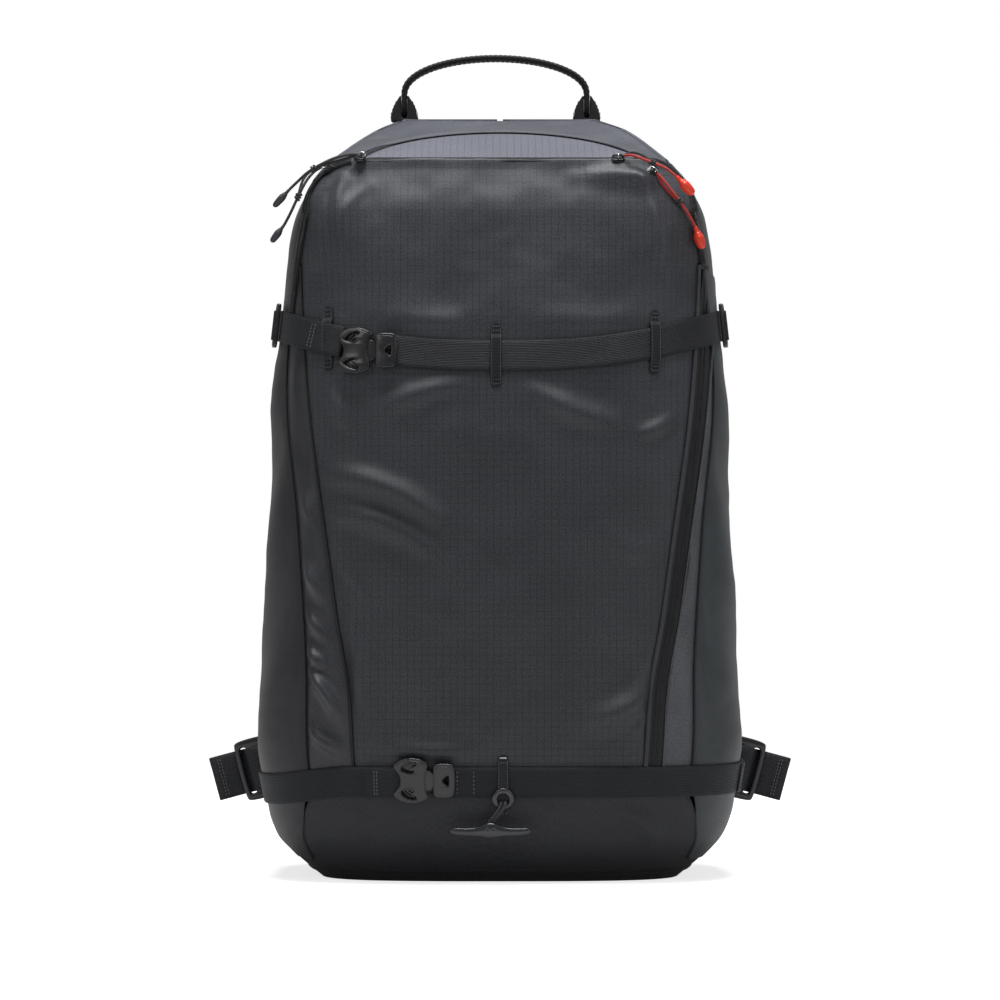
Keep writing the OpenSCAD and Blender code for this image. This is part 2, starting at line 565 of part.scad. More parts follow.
module hip_webbing(side) {
    e = fin_end(side);
    color("#2a2b2f") translate(e) mirror([side > 0 ? 0 : 1, 0, 0]) rotate([0, hip_tilt,
        0]) translate([30.6 + sew, -3.5, -hip_web_w / 2]) cube([16, 7, hip_web_w]);
}

// Zip sliders with a bridge for the pull cord
module slider() {
    difference() {
        union() {
            translate([-slider_l / 2, -1.6, -slider_w / 2]) cube([slider_l, 1.6, slider_w]);
            translate([-slider_l / 2 + 1.5, -slider_t, -1.3]) cube([slider_l - 3, slider_t - 1, 2.6]);
        }
        translate([-1.5, -slider_t + 1, -3]) cube([3, slider_t - 2.4, 6]);
    }
}
slider_h = .5;
// Places a piece on the arc of the main zip, at an angle round it
module on_arc(a, h) {
    n = [0, -sin(top_slope), cos(top_slope)];
    run = arc_r * cos(a) - (arc_r - lid_rise);
    t = [cos(a), -sin(a) * cos(top_slope), -sin(a) * sin(top_slope)];
    u = cross(t, -n);
    c = [arc_r * sin(a), crease_y() + run * cos(top_slope), crease_z + run * sin(top_slope)] + h * n;
    multmatrix([[t[0], -n[0], u[0], c[0]], [t[1], -n[1], u[1], c[1]], [t[2], -n[2], u[2], c[2]],
        [0, 0, 0, 1]]) children();
}
module main_slider_upper() { color("#1c1d20") on_arc(-arc_half, slider_h) slider(); }
low_slider_b = 31; // angle down the top corner's round
function corner_point(side, b) =
    let (x = corner_x + corner_r * sin(b), z = corner_z + corner_r * cos(b)) [side * angle_at(x, z), z];
module main_slider_lower() { color("#1c1d20") on_skin(corner_point(-1, low_slider_b), slider_h
    + .1) rotate([0, -low_slider_b, 0]) slider(); }
pocket_upper_x = 76;
module pocket_slider_upper() { color("#1c1d20") on_skin([angle_at(pocket_upper_x, crease_z), crease_z],
    slider_h - .1) slider(); }
pocket_lower = [98, crease_z - 8];
module pocket_slider_lower() {
    color("#1c1d20") on_skin([angle_at(pocket_lower[0], pocket_lower[1]), pocket_lower[1]], slider_h
        + .1) rotate([0, 50, 0]) slider();
}

// Pull cords, from the sliders to their moulded ends
cords = [
    [[-92.1, -63.25, 468.6], [-97, -66, 468.5], [-105, -69, 466.5], [-114, -70, 462.5],
        [-123.5, -68, 457], [-130, -65, 451.5], [-135.5, -62.5, 446.5]],
    [[-115.6, -54.6, 461.2], [-120, -58, 458], [-124.5, -61, 452.5], [-128, -63, 446],
        [-131.5, -64, 438.5], [-135, -64, 431], [-139, -63, 423.5]],
    [[79.8, -63.4, 468], [85, -66.5, 468], [92, -69, 465.5], [99, -73.8, 462.5], [106, -78.3, 459],
        [113, -80.4, 453.5]],
    [[101.2, -67.2, 456.5], [105, -68.8, 452], [110, -70, 445.5], [115.5, -70.5, 438], [121, -70, 430],
        [125.5, -68.5, 422]]];
end_points = [[-146, -58, 435.5], [-147.5, -60, 412.5], [124, -79.2, 442], [130.5, -66, 408]];
end_w = [6, 6, 8.5, 8.5];
cord_red = ["#161618", "#161618", "#b12b21", "#b12b21"];
end_red = ["#2c2d31", "#2c2d31", "#e13c23", "#e13c23"];
module pull_cord(i) { color(cord_red[i - 1]) sweep(route(cords[i - 1], [0, 1, 0]), tube_profile(cord_d)); }
module pull_end(i) {
    c = cords[i - 1][len(cords[i - 1]) - 1];
    e = end_points[i - 1];
    color(end_red[i - 1]) sweep(route([c + .5 * unit(e - c), e], [0, 1, 0]),
        pad_profile(end_w[i - 1] * .75, end_w[i - 1]));
}

front_panel();
gusset(-1);  // gusset_left
gusset(1);  // gusset_right
side_panel(-1);  // side_panel_left
side_panel(1);  // side_panel_right
bottom_panel();
back_panel();
top_rear_panel();
lid_panel();
frame_sheet();
zip_tape();
back_pad();
lumbar_pad();
keepers();
upper_strap_left();
upper_strap_right();
lower_strap_left();
lower_strap_right();
upper_buckle_socket();
upper_buckle_clip();
lower_buckle_socket();
lower_buckle_clip();
upper_triglides();
toggle_grommet();
toggle();
toggle_cord();
haul_loop();
haul_loop_feet();
shoulder_pad(-1);  // shoulder_pad_left
shoulder_pad(1);  // shoulder_pad_right
shoulder_webbing(-1);  // shoulder_webbing_left
shoulder_webbing(1);  // shoulder_webbing_right
shoulder_ladder(-1);  // shoulder_ladder_left
shoulder_ladder(1);  // shoulder_ladder_right
lower_anchors();
sternum_strap(-1);  // sternum_strap_left
sternum_strap(1);  // sternum_strap_right
hip_fin(-1);  // hip_fin_left
hip_fin(1);  // hip_fin_right
hip_webbing(-1);  // hip_webbing_left
hip_webbing(1);  // hip_webbing_right
hip_ladder(-1);  // hip_ladder_left
hip_ladder(1);  // hip_ladder_right
main_slider_upper();
main_slider_lower();
pocket_slider_upper();
pocket_slider_lower();
pull_cord(1);  // pull_cord_1
pull_cord(2);  // pull_cord_2
pull_cord(3);  // pull_cord_3
pull_cord(4);  // pull_cord_4
pull_end(1);  // pull_end_1
pull_end(2);  // pull_end_2
pull_end(3);  // pull_end_3
pull_end(4);  // pull_end_4
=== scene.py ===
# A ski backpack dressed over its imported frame: cloth shell, webbing, buckles, zips, pads and pulls.
import math

import bpy
import numpy as np
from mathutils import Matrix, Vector


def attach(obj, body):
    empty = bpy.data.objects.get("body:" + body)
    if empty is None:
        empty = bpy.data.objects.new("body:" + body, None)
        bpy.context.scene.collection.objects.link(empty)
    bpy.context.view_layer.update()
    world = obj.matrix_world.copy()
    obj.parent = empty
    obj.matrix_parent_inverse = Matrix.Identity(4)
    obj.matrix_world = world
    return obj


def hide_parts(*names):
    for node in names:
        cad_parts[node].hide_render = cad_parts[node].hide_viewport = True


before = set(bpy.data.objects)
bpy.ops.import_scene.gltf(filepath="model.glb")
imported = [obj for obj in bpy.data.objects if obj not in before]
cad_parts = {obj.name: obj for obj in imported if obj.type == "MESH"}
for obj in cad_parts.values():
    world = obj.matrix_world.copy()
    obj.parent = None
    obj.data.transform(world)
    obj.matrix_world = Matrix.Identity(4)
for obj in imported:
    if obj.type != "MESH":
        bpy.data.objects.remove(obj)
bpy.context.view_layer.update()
mm = 0.001
rng = np.random.default_rng(7)
xWay, yWay, zWay = np.eye(3)


# Camera, level with the middle of the bag
cameraSet = {"distance": 3.0, "height": 0.246, "lens": 164.0}
cameraData = bpy.data.cameras.new("camera")
cameraData.lens = cameraSet["lens"]
cameraData.sensor_width = 36.0
camera = bpy.data.objects.new("camera", cameraData)
camera.location = (0, -cameraSet["distance"], cameraSet["height"])
camera.rotation_euler = (math.radians(90), 0, 0)
bpy.context.scene.collection.objects.link(camera)
bpy.context.scene.camera = camera


# The bag's skin. Lengths are in millimetres and angles in degrees until a mesh is made.
bag = {"width": 314.0, "height": 500.0, "depth": 188.0, "topDrop": 35.0, "topSlope": 19.0, "wall": 2.5}
halfW = bag["width"] / 2
bagH = bag["height"]
backY = bag["depth"] * 0.48
fullY = backY - bag["depth"]
creaseZ = bagH - bag["topDrop"]
creaseY = fullY * 0.633
tanTop = math.tan(math.radians(bag["topSlope"]))
widthShape = [[0, .745], [.026, .841], [.06, .93], [.158, 1], [.292, .985], [.452, .955], [.612, .943],
              [.772, .895], [.852, .852], [.892, .80], [.92, .735], [.944, .66], [.968, .575], [.986, .495],
              [1, .40]]
frontShape = [[0, .63], [.06, .86], [.16, .98], [.4, 1], [.66, .94], [.86, .79], [.93, .633]]
backShape = [[0, .84], [.04, .945], [.12, 1], [.84, 1], [.93, .955], [.97, .84], [.992, .71], [1, .62]]


def curveThrough(shape, v):
    # Cubic Hermite curve through [place, value] points, each slope taken between its two neighbours
    x, y = np.array(shape, float).T
    slope = np.empty(len(x))
    slope[1:-1] = (y[2:] - y[:-2]) / (x[2:] - x[:-2])
    slope[0] = (y[1] - y[0]) / (x[1] - x[0])
    slope[-1] = (y[-1] - y[-2]) / (x[-1] - x[-2])
    v = np.asarray(v, float)
    i = np.clip(np.searchsorted(x, v, side="left") - 1, 0, len(x) - 2)
    h = x[i + 1] - x[i]
    t = np.clip((v - x[i]) / h, 0, 1)
    return ((2 * t**3 - 3 * t**2 + 1) * y[i] + (t**3 - 2 * t**2 + t) * slope[i] * h
            + (3 * t**2 - 2 * t**3) * y[i + 1] + (t**3 - t**2) * slope[i + 1] * h)


def ease(a, b, v):
    # Smooth step from 0 at a to 1 at b: three t squared less two t cubed
    t = np.clip((np.asarray(v, float) - a) / (b - a), 0, 1)
    return t * t * (3 - 2 * t)


def hump(distance, width, power=2):
    # Bell, 1 in the middle: e to minus the distance over the width, raised to a power
    return np.exp(-np.abs(distance / width) ** power)


def halfWidth(z):
    # Half the width of the bag times the width shape at that height
    return halfW * curveThrough(widthShape, np.asarray(z) / bagH)


def frontY(z):
    # Front line: the front shape up to the crease, then the slope of the top, steeper over its last 12 mm
    low = fullY * curveThrough(frontShape, z / bagH * .93 / (creaseZ / bagH))
    slope = np.minimum(z - creaseZ, bagH - 12 - creaseZ) / tanTop
    high = creaseY + slope + np.maximum(0, z - bagH + 12) * 2.9
    return np.where(z <= creaseZ, low, high)


def squareness(phi, z):
    # Power of the superellipse: 5 behind, and 3.3 growing to 8 towards the crease in front
    return np.where(np.cos(np.radians(phi)) < 0, 5, 3.3 + 4.7 * ease(bagH * .76, creaseZ, z))


def skin(phi, z):
    # Ring at height z: a superellipse from the front line to the back line, at ring angle phi
    phi, z = np.broadcast_arrays(np.asarray(phi, float), np.asarray(z, float))
    power = 2 / squareness(phi, z)
    s, c = np.sin(np.radians(phi)), np.cos(np.radians(phi))
    front, back = frontY(z), backY * curveThrough(backShape, z / bagH)
    x = halfWidth(z) * np.sign(s) * np.abs(s) ** power
    y = (front + back) / 2 - (back - front) / 2 * np.sign(c) * np.abs(c) ** power
    return np.stack([x, y, z], -1)


def unit(v):
    # Each vector divided by its own length
    return v / np.maximum(np.linalg.norm(v, axis=-1, keepdims=True), 1e-9)


def outward(phi, z):
    # Normal of the skin: cross product of its differences round the ring and up
    z = np.clip(np.asarray(z, float), .6, bagH - .6)
    phi = np.asarray(phi, float)
    return unit(np.cross(skin(phi + .4, z) - skin(phi - .4, z), skin(phi, z + .5) - skin(phi, z - .5)))


def lifted(phi, z, h=0.0):
    # Skin points moved outwards by h
    return skin(phi, z) + np.asarray(h, float)[..., None] * outward(phi, z)


def skinFrames(path, o):
    # Along, across and up directions of a path on the skin, from the outward directions o
    along = unit(np.gradient(path, axis=0))
    across = unit(np.cross(o, along))
    return along, across, np.cross(along, across)


def angleAt(x, z):
    # Ring angle of the front at sideways place x: the superellipse solved for its angle
    share = np.minimum(1, np.abs(x) / halfWidth(z))
    return np.sign(x) * np.degrees(np.arcsin(share ** (squareness(0, z) / 2)))


# Seams, as sideways places at each height
cornerX, cornerR = 93.0, 33.0
cornerZ = creaseZ - cornerR
panelTopZ = creaseZ * .86
sideTopZ = creaseZ - 20
backCorner = 128.0
bootZ = 60.0


def sideSeamX(z):
    # A share of the half width, and above cornerZ a quarter circle round the corner
    arc = cornerX + np.sqrt(np.maximum(0, cornerR**2 - (z - cornerZ) ** 2))
    run = halfWidth(z) * curveThrough([[0, .78], [.3, .80], [.53, .87], [.75, .94], [1, .945]], z / cornerZ)
    return np.where(z > cornerZ, arc, run)


def panelSeamX(z):
    # A share of the half width, and above panelTopZ the side seam itself
    run = halfWidth(z) * curveThrough([[0, .59], [.28, .61], [.44, .69], [.61, .77], [.81, .85], [1, .93]],
                                      z / panelTopZ)
    return np.where(z > panelTopZ, sideSeamX(z), run)


def bootTop(phi):
    # Top edge of the bottom panel: bootZ in front, easing to 14 mm at the sides and behind
    return 14 + (bootZ - 14) * ease(.5, .8, np.cos(np.radians(phi)))


def upperZ(x):
    # Middle line of the upper strap, rising by a power of 2.4 towards the sides
    return 338 + 19 * (np.abs(x) / (.88 * halfW)) ** 2.4


def lowerZ(x):
    # Middle line of the lower strap, easing 7 mm lower at its left end
    return 66 - 7 * ease(.6, 1, -x / halfW)


# Cloth folds on the front: each runs through three [x, z] points, with its height and half width
foldGain = 2.3
frontFolds = [
    ([(-121, 265), (-68, 252), (-36, 228)], 3.0, 8), ([(-114, 237), (-74, 231), (-36, 206)], 2.2, 7),
    ([(-94, 297), (-48, 316), (-12, 324)], 2.0, 8), ([(12, 324), (42, 305), (80, 295)], 2.2, 8),
    ([(-80, 92), (-45, 85), (-14, 88)], 2.2, 6), ([(50, 106), (84, 116), (101, 142)], 3.4, 8),
    ([(84, 96), (96, 108), (101, 122)], 1.6, 4), ([(-88, 150), (-97, 118), (-99, 90)], 2.4, 5),
    ([(-96, 190), (-93, 150), (-80, 104)], 1.4, 7), ([(-110, 320), (-104, 305), (-98, 290)], 1.6, 6),
    ([(50, 455), (92, 452), (112, 440)], 2.6, 6), ([(88, 452), (99, 436), (98, 400)], 2.2, 4.5),
    ([(108, 428), (106, 404), (112, 380)], 1.6, 5), ([(98, 455), (106, 446), (116, 447)], 1.8, 3),
    ([(-98, 458), (-104, 440), (-104, 410)], 1.4, 5), ([(-112, 446), (-117, 420), (-119, 390)], 1.4, 5),
    ([(-84, 448), (-99, 430), (-97, 400)], .9, 4), ([(-78, 367), (-50, 358), (-20, 364)], 1.8, 10),
    ([(22, 364), (62, 358), (100, 366)], 1.6, 10), ([(112, 302), (100, 292), (84, 288)], 1.6, 5),
    ([(-52, 300), (-20, 286), (20, 290)], 1.0, 12), ([(-70, 190), (-20, 176), (40, 186)], .9, 16),
    ([(60, 230), (85, 215), (104, 222)], 1.0, 8), ([(-112, 205), (-96, 190), (-84, 168)], 1.4, 5),
    ([(-70, 50), (0, 44), (60, 52)], .9, 10), ([(70, 50), (92, 40), (100, 24)], 1.2, 6),
    ([(-96, 52), (-84, 36), (-70, 22)], 1.1, 6)]
gussetFolds = [
    ([(-132, 160), (-121, 148), (-110, 139)], 3.2, 4), ([(-126, 140), (-112, 126), (-101, 104)], 3.6, 4.2),
    ([(-131, 180), (-120, 168), (-110, 156)], 2.2, 4), ([(-128, 104), (-112, 92), (-99, 84)], 2.6, 4),
    ([(-131, 210), (-121, 196), (-110, 180)], 2.0, 5), ([(-131, 250), (-122, 240), (-115, 228)], 1.2, 5),
    ([(120, 150), (116, 128), (112, 100)], 1.2, 6), ([(126, 220), (121, 200), (122, 176)], 1.2, 6)]


def foldLift(x, z, folds):
    # Sum of ridges: a Gaussian across each fold's curve, fading to nothing at both its ends
    total = np.zeros(np.broadcast(x, z).shape)
    t = np.linspace(0, 1, 33)
    for (a, b, c), height, width in folds:
        px = (1 - t) ** 2 * a[0] + 2 * t * (1 - t) * (2 * b[0] - (a[0] + c[0]) / 2) + t**2 * c[0]
        pz = (1 - t) ** 2 * a[1] + 2 * t * (1 - t) * (2 * b[1] - (a[1] + c[1]) / 2) + t**2 * c[1]
        d2 = (x[..., None] - px) ** 2 + (z[..., None] - pz) ** 2
        near = np.argmin(d2, -1)
        fade = np.sin(np.pi * np.clip(t[near], .03, .97)) ** .7
        total += foldGain * height * fade * np.exp(-np.min(d2, -1) / width**2)
    return total


waveSet = rng.uniform(-1, 1, (14, 2)), rng.uniform(0, 6.28, 14), rng.uniform(.6, 1, 14)


def ripple(u, v, size=60.0):
    # Sum of fourteen slow waves in seeded directions, from about -1 to 1
    way, phase, weight = waveSet
    total = sum(w * np.sin((u * a + v * b) * 6.28 / size + p) for (a, b), p, w in zip(way, phase, weight))
    return total / 5.0


def strapRoom(x, z):
    # 1 where the cloth is free, falling to about 0 where something lies on it
    upperStrap = .93 * hump(z - upperZ(x), 18, 4)
    lowerStrap = .93 * hump(z - lowerZ(x), 17, 4)
    toggleWing = .8 * hump(z - 34, 16, 4) * hump(x + 6, 34, 4)
    redCord = .95 * hump(np.hypot(x - 110, z - 445), 17, 4)
    return (1 - upperStrap) * (1 - lowerStrap) * (1 - toggleWing) * (1 - redCord)


def clothLift(phi, z, region):
    # Height of the cloth over the skin: fold ridges, slow waves and the pull of the seams
    x = skin(phi, z)[..., 0]
    seam = np.abs(np.abs(x) - sideSeamX(z))
    lift = 1.1 * ripple(x, z, 85) + .5 * ripple(z, x, 31) + .16 * ripple(x, z, 13)
    if region == "front":
        seam = np.minimum(seam, np.abs(np.abs(x) - panelSeamX(z)))
        lift = lift + foldLift(x, z, frontFolds)
        patches = arch(x + 110, z - 352) + arch(x - 99, z - 352) + .7 * stadium(x + 2.5, z - 338)
        lift = lift + .55 * patches
        seam = np.where(z < bootZ, 99, seam)
    if region == "gusset":
        seam = np.minimum(seam, np.abs(np.abs(x) - panelSeamX(z)))
        lift = lift + foldLift(x, z, gussetFolds) + 1.0
    if region == "side":
        across = (np.abs(phi) - 60) / 68
        sweepFold = np.sin((z * .9 + np.abs(phi) * 2.1) / 17 + 1.4 * ripple(z, phi, 150))
        lift = (lift + 1.2 * hump(across - .4, .6)
                + 1.1 * sweepFold * hump(across - .2, .5) * hump(z - 215, 190, 4))
    lift = lift * (1 - hump(seam, 5))
    return lift * strapRoom(x, z) - .8 * hump(seam, 2.2)


def arch(x, z):
    # Soft-edged mask of a patch with a round top and straight sides
    d = np.where(z > 0, np.hypot(x, z), np.abs(x))
    return np.clip((16.5 - d) / 2, 0, 1) * np.clip((z + 34) / 3, 0, 1)


def stadium(x, z):
    # Soft-edged mask of an upright patch with two round ends
    d = np.hypot(x, np.maximum(0, np.abs(z) - 17))
    return np.clip((12.5 - d) / 2, 0, 1)


# Mesh parts: arrays of points and faces with a UV in millimetres at each face corner
def gridPart(points, uv=None, closed=False, caps=False, loop=False):
    rows, cols = points.shape[:2]
    if uv is None:
        ring = np.concatenate([points, points[:, :1]], 1) if closed else points
        ring = np.concatenate([ring, ring[:1]]) if loop else ring
        across = np.concatenate([np.zeros((len(ring), 1)),
                                 np.cumsum(np.linalg.norm(np.diff(ring, axis=1), axis=-1), 1)], 1)
        down = np.concatenate([[0], np.cumsum(np.linalg.norm(np.diff(ring.mean(1), axis=0), axis=-1))])
        uv = np.stack([across, np.broadcast_to(down[:, None], across.shape)], -1)
    i, j = np.mgrid[0:rows - (0 if loop else 1), 0:cols - (0 if closed else 1)]
    i1, j1 = (i + 1) % rows, (j + 1) % cols
    faces = np.stack([i * cols + j, i * cols + j1, i1 * cols + j1, i1 * cols + j], -1).reshape(-1, 4)
    corners = np.stack([uv[i, j], uv[i, j + 1], uv[i + 1, j + 1], uv[i + 1, j]], 2).reshape(-1, 2)
    faceList = faces.tolist()
    if caps:
        faceList += [list(range(cols))[::-1], list(range((rows - 1) * cols, rows * cols))]
        corners = np.concatenate([corners, uv[0, :cols][::-1], uv[-1, :cols]])
    return {"points": points.reshape(-1, 3), "faces": faceList, "uv": corners}


def facesOut(part, centre=None):
    # Turns a part's faces when its volume is negative, or when an open sheet faces its centre
    p = part["points"]
    tri = np.array([[f[0], f[k], f[k + 1]] for f in part["faces"] for k in range(1, len(f) - 1)])
    a, b, c = p[tri[:, 0]], p[tri[:, 1]], p[tri[:, 2]]
    n = np.cross(b - a, c - a)
    middle = (a + b + c) / 3
    side = np.sum(n * (middle - (p.mean(0) if centre is None else np.array(centre))))
    if side < 0:
        start = 0
        uv = part["uv"].copy()
        for f in part["faces"]:
            uv[start:start + len(f)] = uv[start:start + len(f)][::-1]
            start += len(f)
        part = {"points": p, "faces": [f[::-1] for f in part["faces"]], "uv": uv}
    return part


def joined(parts):
    # Several parts as one, the point numbers of their faces moved on
    points, faces, uv, start = [], [], [], 0
    for part in parts:
        points.append(part["points"])
        faces += [[k + start for k in f] for f in part["faces"]]
        uv.append(part["uv"])
        start += len(part["points"])
    return {"points": np.concatenate(points), "faces": faces, "uv": np.concatenate(uv)}


def makePiece(name, parts, material, body, standsFor=(), centre=None, smooth=50, thick=0.0):
    # One named mesh piece from one part or a list, riding on a body and standing for its nodes
    part = joined([facesOut(p, centre) for p in (parts if isinstance(parts, list) else [parts])])
    mesh = bpy.data.meshes.new(name)
    mesh.from_pydata((part["points"] * mm).tolist(), [], part["faces"])
    layer = mesh.uv_layers.new(name="UVMap")
    layer.data.foreach_set("uv", part["uv"].astype(np.float32).ravel())
    mesh.polygons.foreach_set("use_smooth", np.ones(len(mesh.polygons), bool))
    mesh.set_sharp_from_angle(angle=math.radians(smooth))
    mesh.materials.append(material)
    piece = bpy.data.objects.new(name, mesh)
    bpy.context.scene.collection.objects.link(piece)
    if thick:
        shell = piece.modifiers.new("thickness", "SOLIDIFY")
        shell.thickness, shell.offset = thick * mm, -1
    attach(piece, body)
    if standsFor:
        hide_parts(*([standsFor] if isinstance(standsFor, str) else standsFor))
    return piece


def smoothPath(points, steps=8):
    # Catmull-Rom curve through the points
    p = np.array(points, float)
    p = np.concatenate([[2 * p[0] - p[1]], p, [2 * p[-1] - p[-2]]])
    t = np.linspace(0, 1, steps, endpoint=False)[:, None]
    spans = []
    for i in range(1, len(p) - 2):
        before, here, after, last = p[i - 1:i + 3]
        spans.append(.5 * (2 * here + (after - before) * t + (2 * before - 5 * here + 4 * after - last) * t**2
                           + (3 * here - before - 3 * after + last) * t**3))
    return np.concatenate(spans + [p[-2:-1]])


def pathFrames(path, side):
    # Along, side and up directions at each point, the side kept square to the path
    along = unit(np.gradient(path, axis=0))
    up = unit(np.cross(along, np.broadcast_to(np.asarray(side, float), path.shape)))
    return along, np.cross(up, along), up


def tubePart(path, radius, side=(0, 1, .01), ring=12, squash=1.0):
    # Ellipse carried along a path: cosine times the side, squash times sine times the up direction
    along, across, up = pathFrames(path, side)
    a = np.linspace(0, 2 * np.pi, ring, endpoint=False)
    radius = np.broadcast_to(np.asarray(radius, float), len(path))[:, None, None]
    squash = np.broadcast_to(np.asarray(squash, float), len(path))[:, None, None]
    spokes = np.cos(a)[:, None] * across[:, None] + squash * np.sin(a)[:, None] * up[:, None]
    points = path[:, None] + radius * spokes
    return gridPart(points, closed=True, caps=True)


def bandPart(path, across, up, width, thick, corner=.5):
    # Flat webbing: a rounded bar profile carried along the path, its width one number or one at each point
    half = np.broadcast_to(np.asarray(width, float) / 2, len(path))[:, None]
    edge, t, flat = np.minimum(corner, half), thick / 2, np.linspace(-1, 1, 9)
    inner = np.concatenate([flat, [1, 1, 1], -flat, [-1, -1, -1]])
    outer = np.concatenate([0 * flat, [.8, 1, .8], 0 * flat, [-.8, -1, -.8]])
    rise = t * np.concatenate([1 + 0 * flat, [.55, 0, -.55], -1 + 0 * flat, [-.55, 0, .55]])
    sideways = inner * (half - edge) + outer * edge
    points = path[:, None] + sideways[..., None] * across[:, None] + rise[:, None] * up[:, None]
    down = np.concatenate([[0], np.cumsum(np.linalg.norm(np.diff(path, axis=0), axis=-1))])
    ring = np.concatenate([sideways, sideways[:, :1]], 1)
    uv = np.stack(np.broadcast_arrays(ring, down[:, None]), -1)
    return gridPart(points, uv, closed=True, caps=True)


def lathePart(profile, place, ring=40):
    # Closed profile of [radius, height] points turned about a frame's outward axis
    c, s, o, u = place
    a = np.linspace(0, 2 * np.pi, ring, endpoint=False)
    r, h = np.array(profile, float).T
    spokes = np.cos(a)[:, None] * s + np.sin(a)[:, None] * u
    return gridPart(c + r[:, None, None] * spokes + h[:, None, None] * o, closed=True, loop=True)


def pill(length, width, height):
    # Small capsule along x, six-sided
    a = np.linspace(0, 2 * np.pi, 6, endpoint=False)
    x = np.array([-.5, -.36, .36, .5])[:, None] * length
    r = np.array([.45, 1, 1, .45])[:, None] / 2
    return gridPart(np.stack([x + 0 * a, r * np.cos(a) * width, r * np.sin(a) * height], -1), closed=True,
                    caps=True)


def scattered(template, centres, along, across, up):
    # One copy of the template at each centre, turned to that place's directions
    p = template["points"]
    points = (centres[:, None] + p[:, :1] * along[:, None]
              + p[:, 1:2] * across[:, None] + p[:, 2:] * up[:, None])
    count = len(p)
    faces = [[k + i * count for k in f] for i in range(len(centres)) for f in template["faces"]]
    return {"points": points.reshape(-1, 3), "faces": faces, "uv": np.tile(template["uv"], (len(centres), 1))}


def evenly(path, pitch):
    # Points at equal steps along a path, half a step in from each end
    length = np.concatenate([[0], np.cumsum(np.linalg.norm(np.diff(path, axis=0), axis=-1))])
    count = max(2, int(length[-1] / pitch))
    at = (np.arange(count) + .5) * length[-1] / count
    return np.stack([np.interp(at, length, path[:, k]) for k in range(3)], -1)


def resampled(values, count):
    # Rows of values read off again at equal steps between the first and the last
    at = np.linspace(0, 1, count)
    return np.stack([np.interp(at, np.linspace(0, 1, len(values)), values[:, k])
                     for k in range(values.shape[1])], -1)


def stitchPart(path, up, pitch=3.4, length=2.3, radius=.42):
    # Row of thread stitches along a path
    where = evenly(path, pitch)
    ups = unit(resampled(up, len(where)))
    along = unit(np.gradient(where, axis=0))
    across = unit(np.cross(ups, along))
    return scattered(pill(length, radius * 2, radius * 1.5), where, along, across, np.cross(along, across))


def crossRow(path, across, up, k, half, height, count=12):
    # Points straight across a band at its place k
    middle = path[k] + height * up[k]
    return np.linspace(middle - half * across[k], middle + half * across[k], count)


def crossStitches(path, across, up, places, half, height, pitch, length, radius, count=12):
    # A stitched row across a band at each of the places, all facing as the band does at the first
    facing = np.broadcast_to(up[places[0]], (count, 3))
    return [stitchPart(crossRow(path, across, up, k, half, height, count), facing, pitch, length, radius)
            for k in places]


def onSkin(phi, z, h=0.0, turn=0.0):
    # Frame on the skin: centre, along the side, outwards and up, turned about the outward axis
    o = outward(phi, z)
    s = unit(np.cross(-o, [0, 0, 1]))
    u = np.cross(s, -o)
    c = lifted(phi, z, h)
    t = math.radians(turn)
    return c, s * math.cos(t) - u * math.sin(t), o, u * math.cos(t) + s * math.sin(t)


def rounded(loop, cuts=3, keep=.25):
    # Cuts a closed loop's corners again and again
    p = np.array(loop, float)
    for _ in range(cuts):
        q = np.roll(p, -1, 0)
        p = np.stack([p + (q - p) * keep, q + (p - q) * keep], 1).reshape(-1, 2)
    return p


def platePart(loops, thick, bevel, place, bend=0.0, lift=0.0):
    # Flat plate with holes and rounded edges, from closed loops of [along, up] points, bent to a radius
    flat = bpy.data.curves.new("flat", "CURVE")
    flat.dimensions, flat.fill_mode = "2D", "BOTH"
    flat.extrude, flat.bevel_depth, flat.bevel_resolution = thick / 2 - bevel, bevel, 2
    flat.offset = -bevel
    for loop in loops:
        spline = flat.splines.new("POLY")
        spline.points.add(len(loop) - 1)
        spline.points.foreach_set("co", np.c_[loop, np.zeros(len(loop)), np.ones(len(loop))].ravel())
        spline.use_cyclic_u = True
    holder = bpy.data.objects.new("flat", flat)
    bpy.context.scene.collection.objects.link(holder)
    bpy.context.view_layer.update()
    mesh = bpy.data.meshes.new_from_object(holder.evaluated_get(bpy.context.evaluated_depsgraph_get()))
    co = np.empty(len(mesh.vertices) * 3)
    mesh.vertices.foreach_get("co", co)
    co = co.reshape(-1, 3)
    faces = [list(f.vertices) for f in mesh.polygons]
    # The front, back and rim come apart, so vertices at one place become one
    key = np.round(co * 500).astype(int)
    _, first, back = np.unique(key, axis=0, return_index=True, return_inverse=True)
    co, faces = co[first], [[int(back.ravel()[k]) for k in f] for f in faces]
    faces = [f for f in ([k for i, k in enumerate(f) if k != f[i - 1]] for f in faces) if len(set(f)) > 2]
    bpy.data.objects.remove(holder)
    bpy.data.meshes.remove(mesh)
    bpy.data.curves.remove(flat)
    c, s, o, u = place
    out = co[:, 2] + thick / 2 + lift
    if bend:
        angle = co[:, 0] / bend
        along, out = np.sin(angle) * (bend + out), np.cos(angle) * (bend + out) - bend
    else:
        along = co[:, 0]
    points = c + along[:, None] * s + co[:, 1, None] * u + out[:, None] * o
    uv = np.concatenate([co[f][:, :2] for f in faces])
    return {"points": points, "faces": faces, "uv": uv}


def box2(x0, x1, y0, y1, corner=1.0, cuts=3):
    # Loop of a rectangle with its corners cut round
    r = corner
    return rounded([(x0 + r, y0), (x1 - r, y0), (x1, y0 + r), (x1, y1 - r), (x1 - r, y1), (x0 + r, y1),
                    (x0, y1 - r), (x0, y0 + r)], cuts)


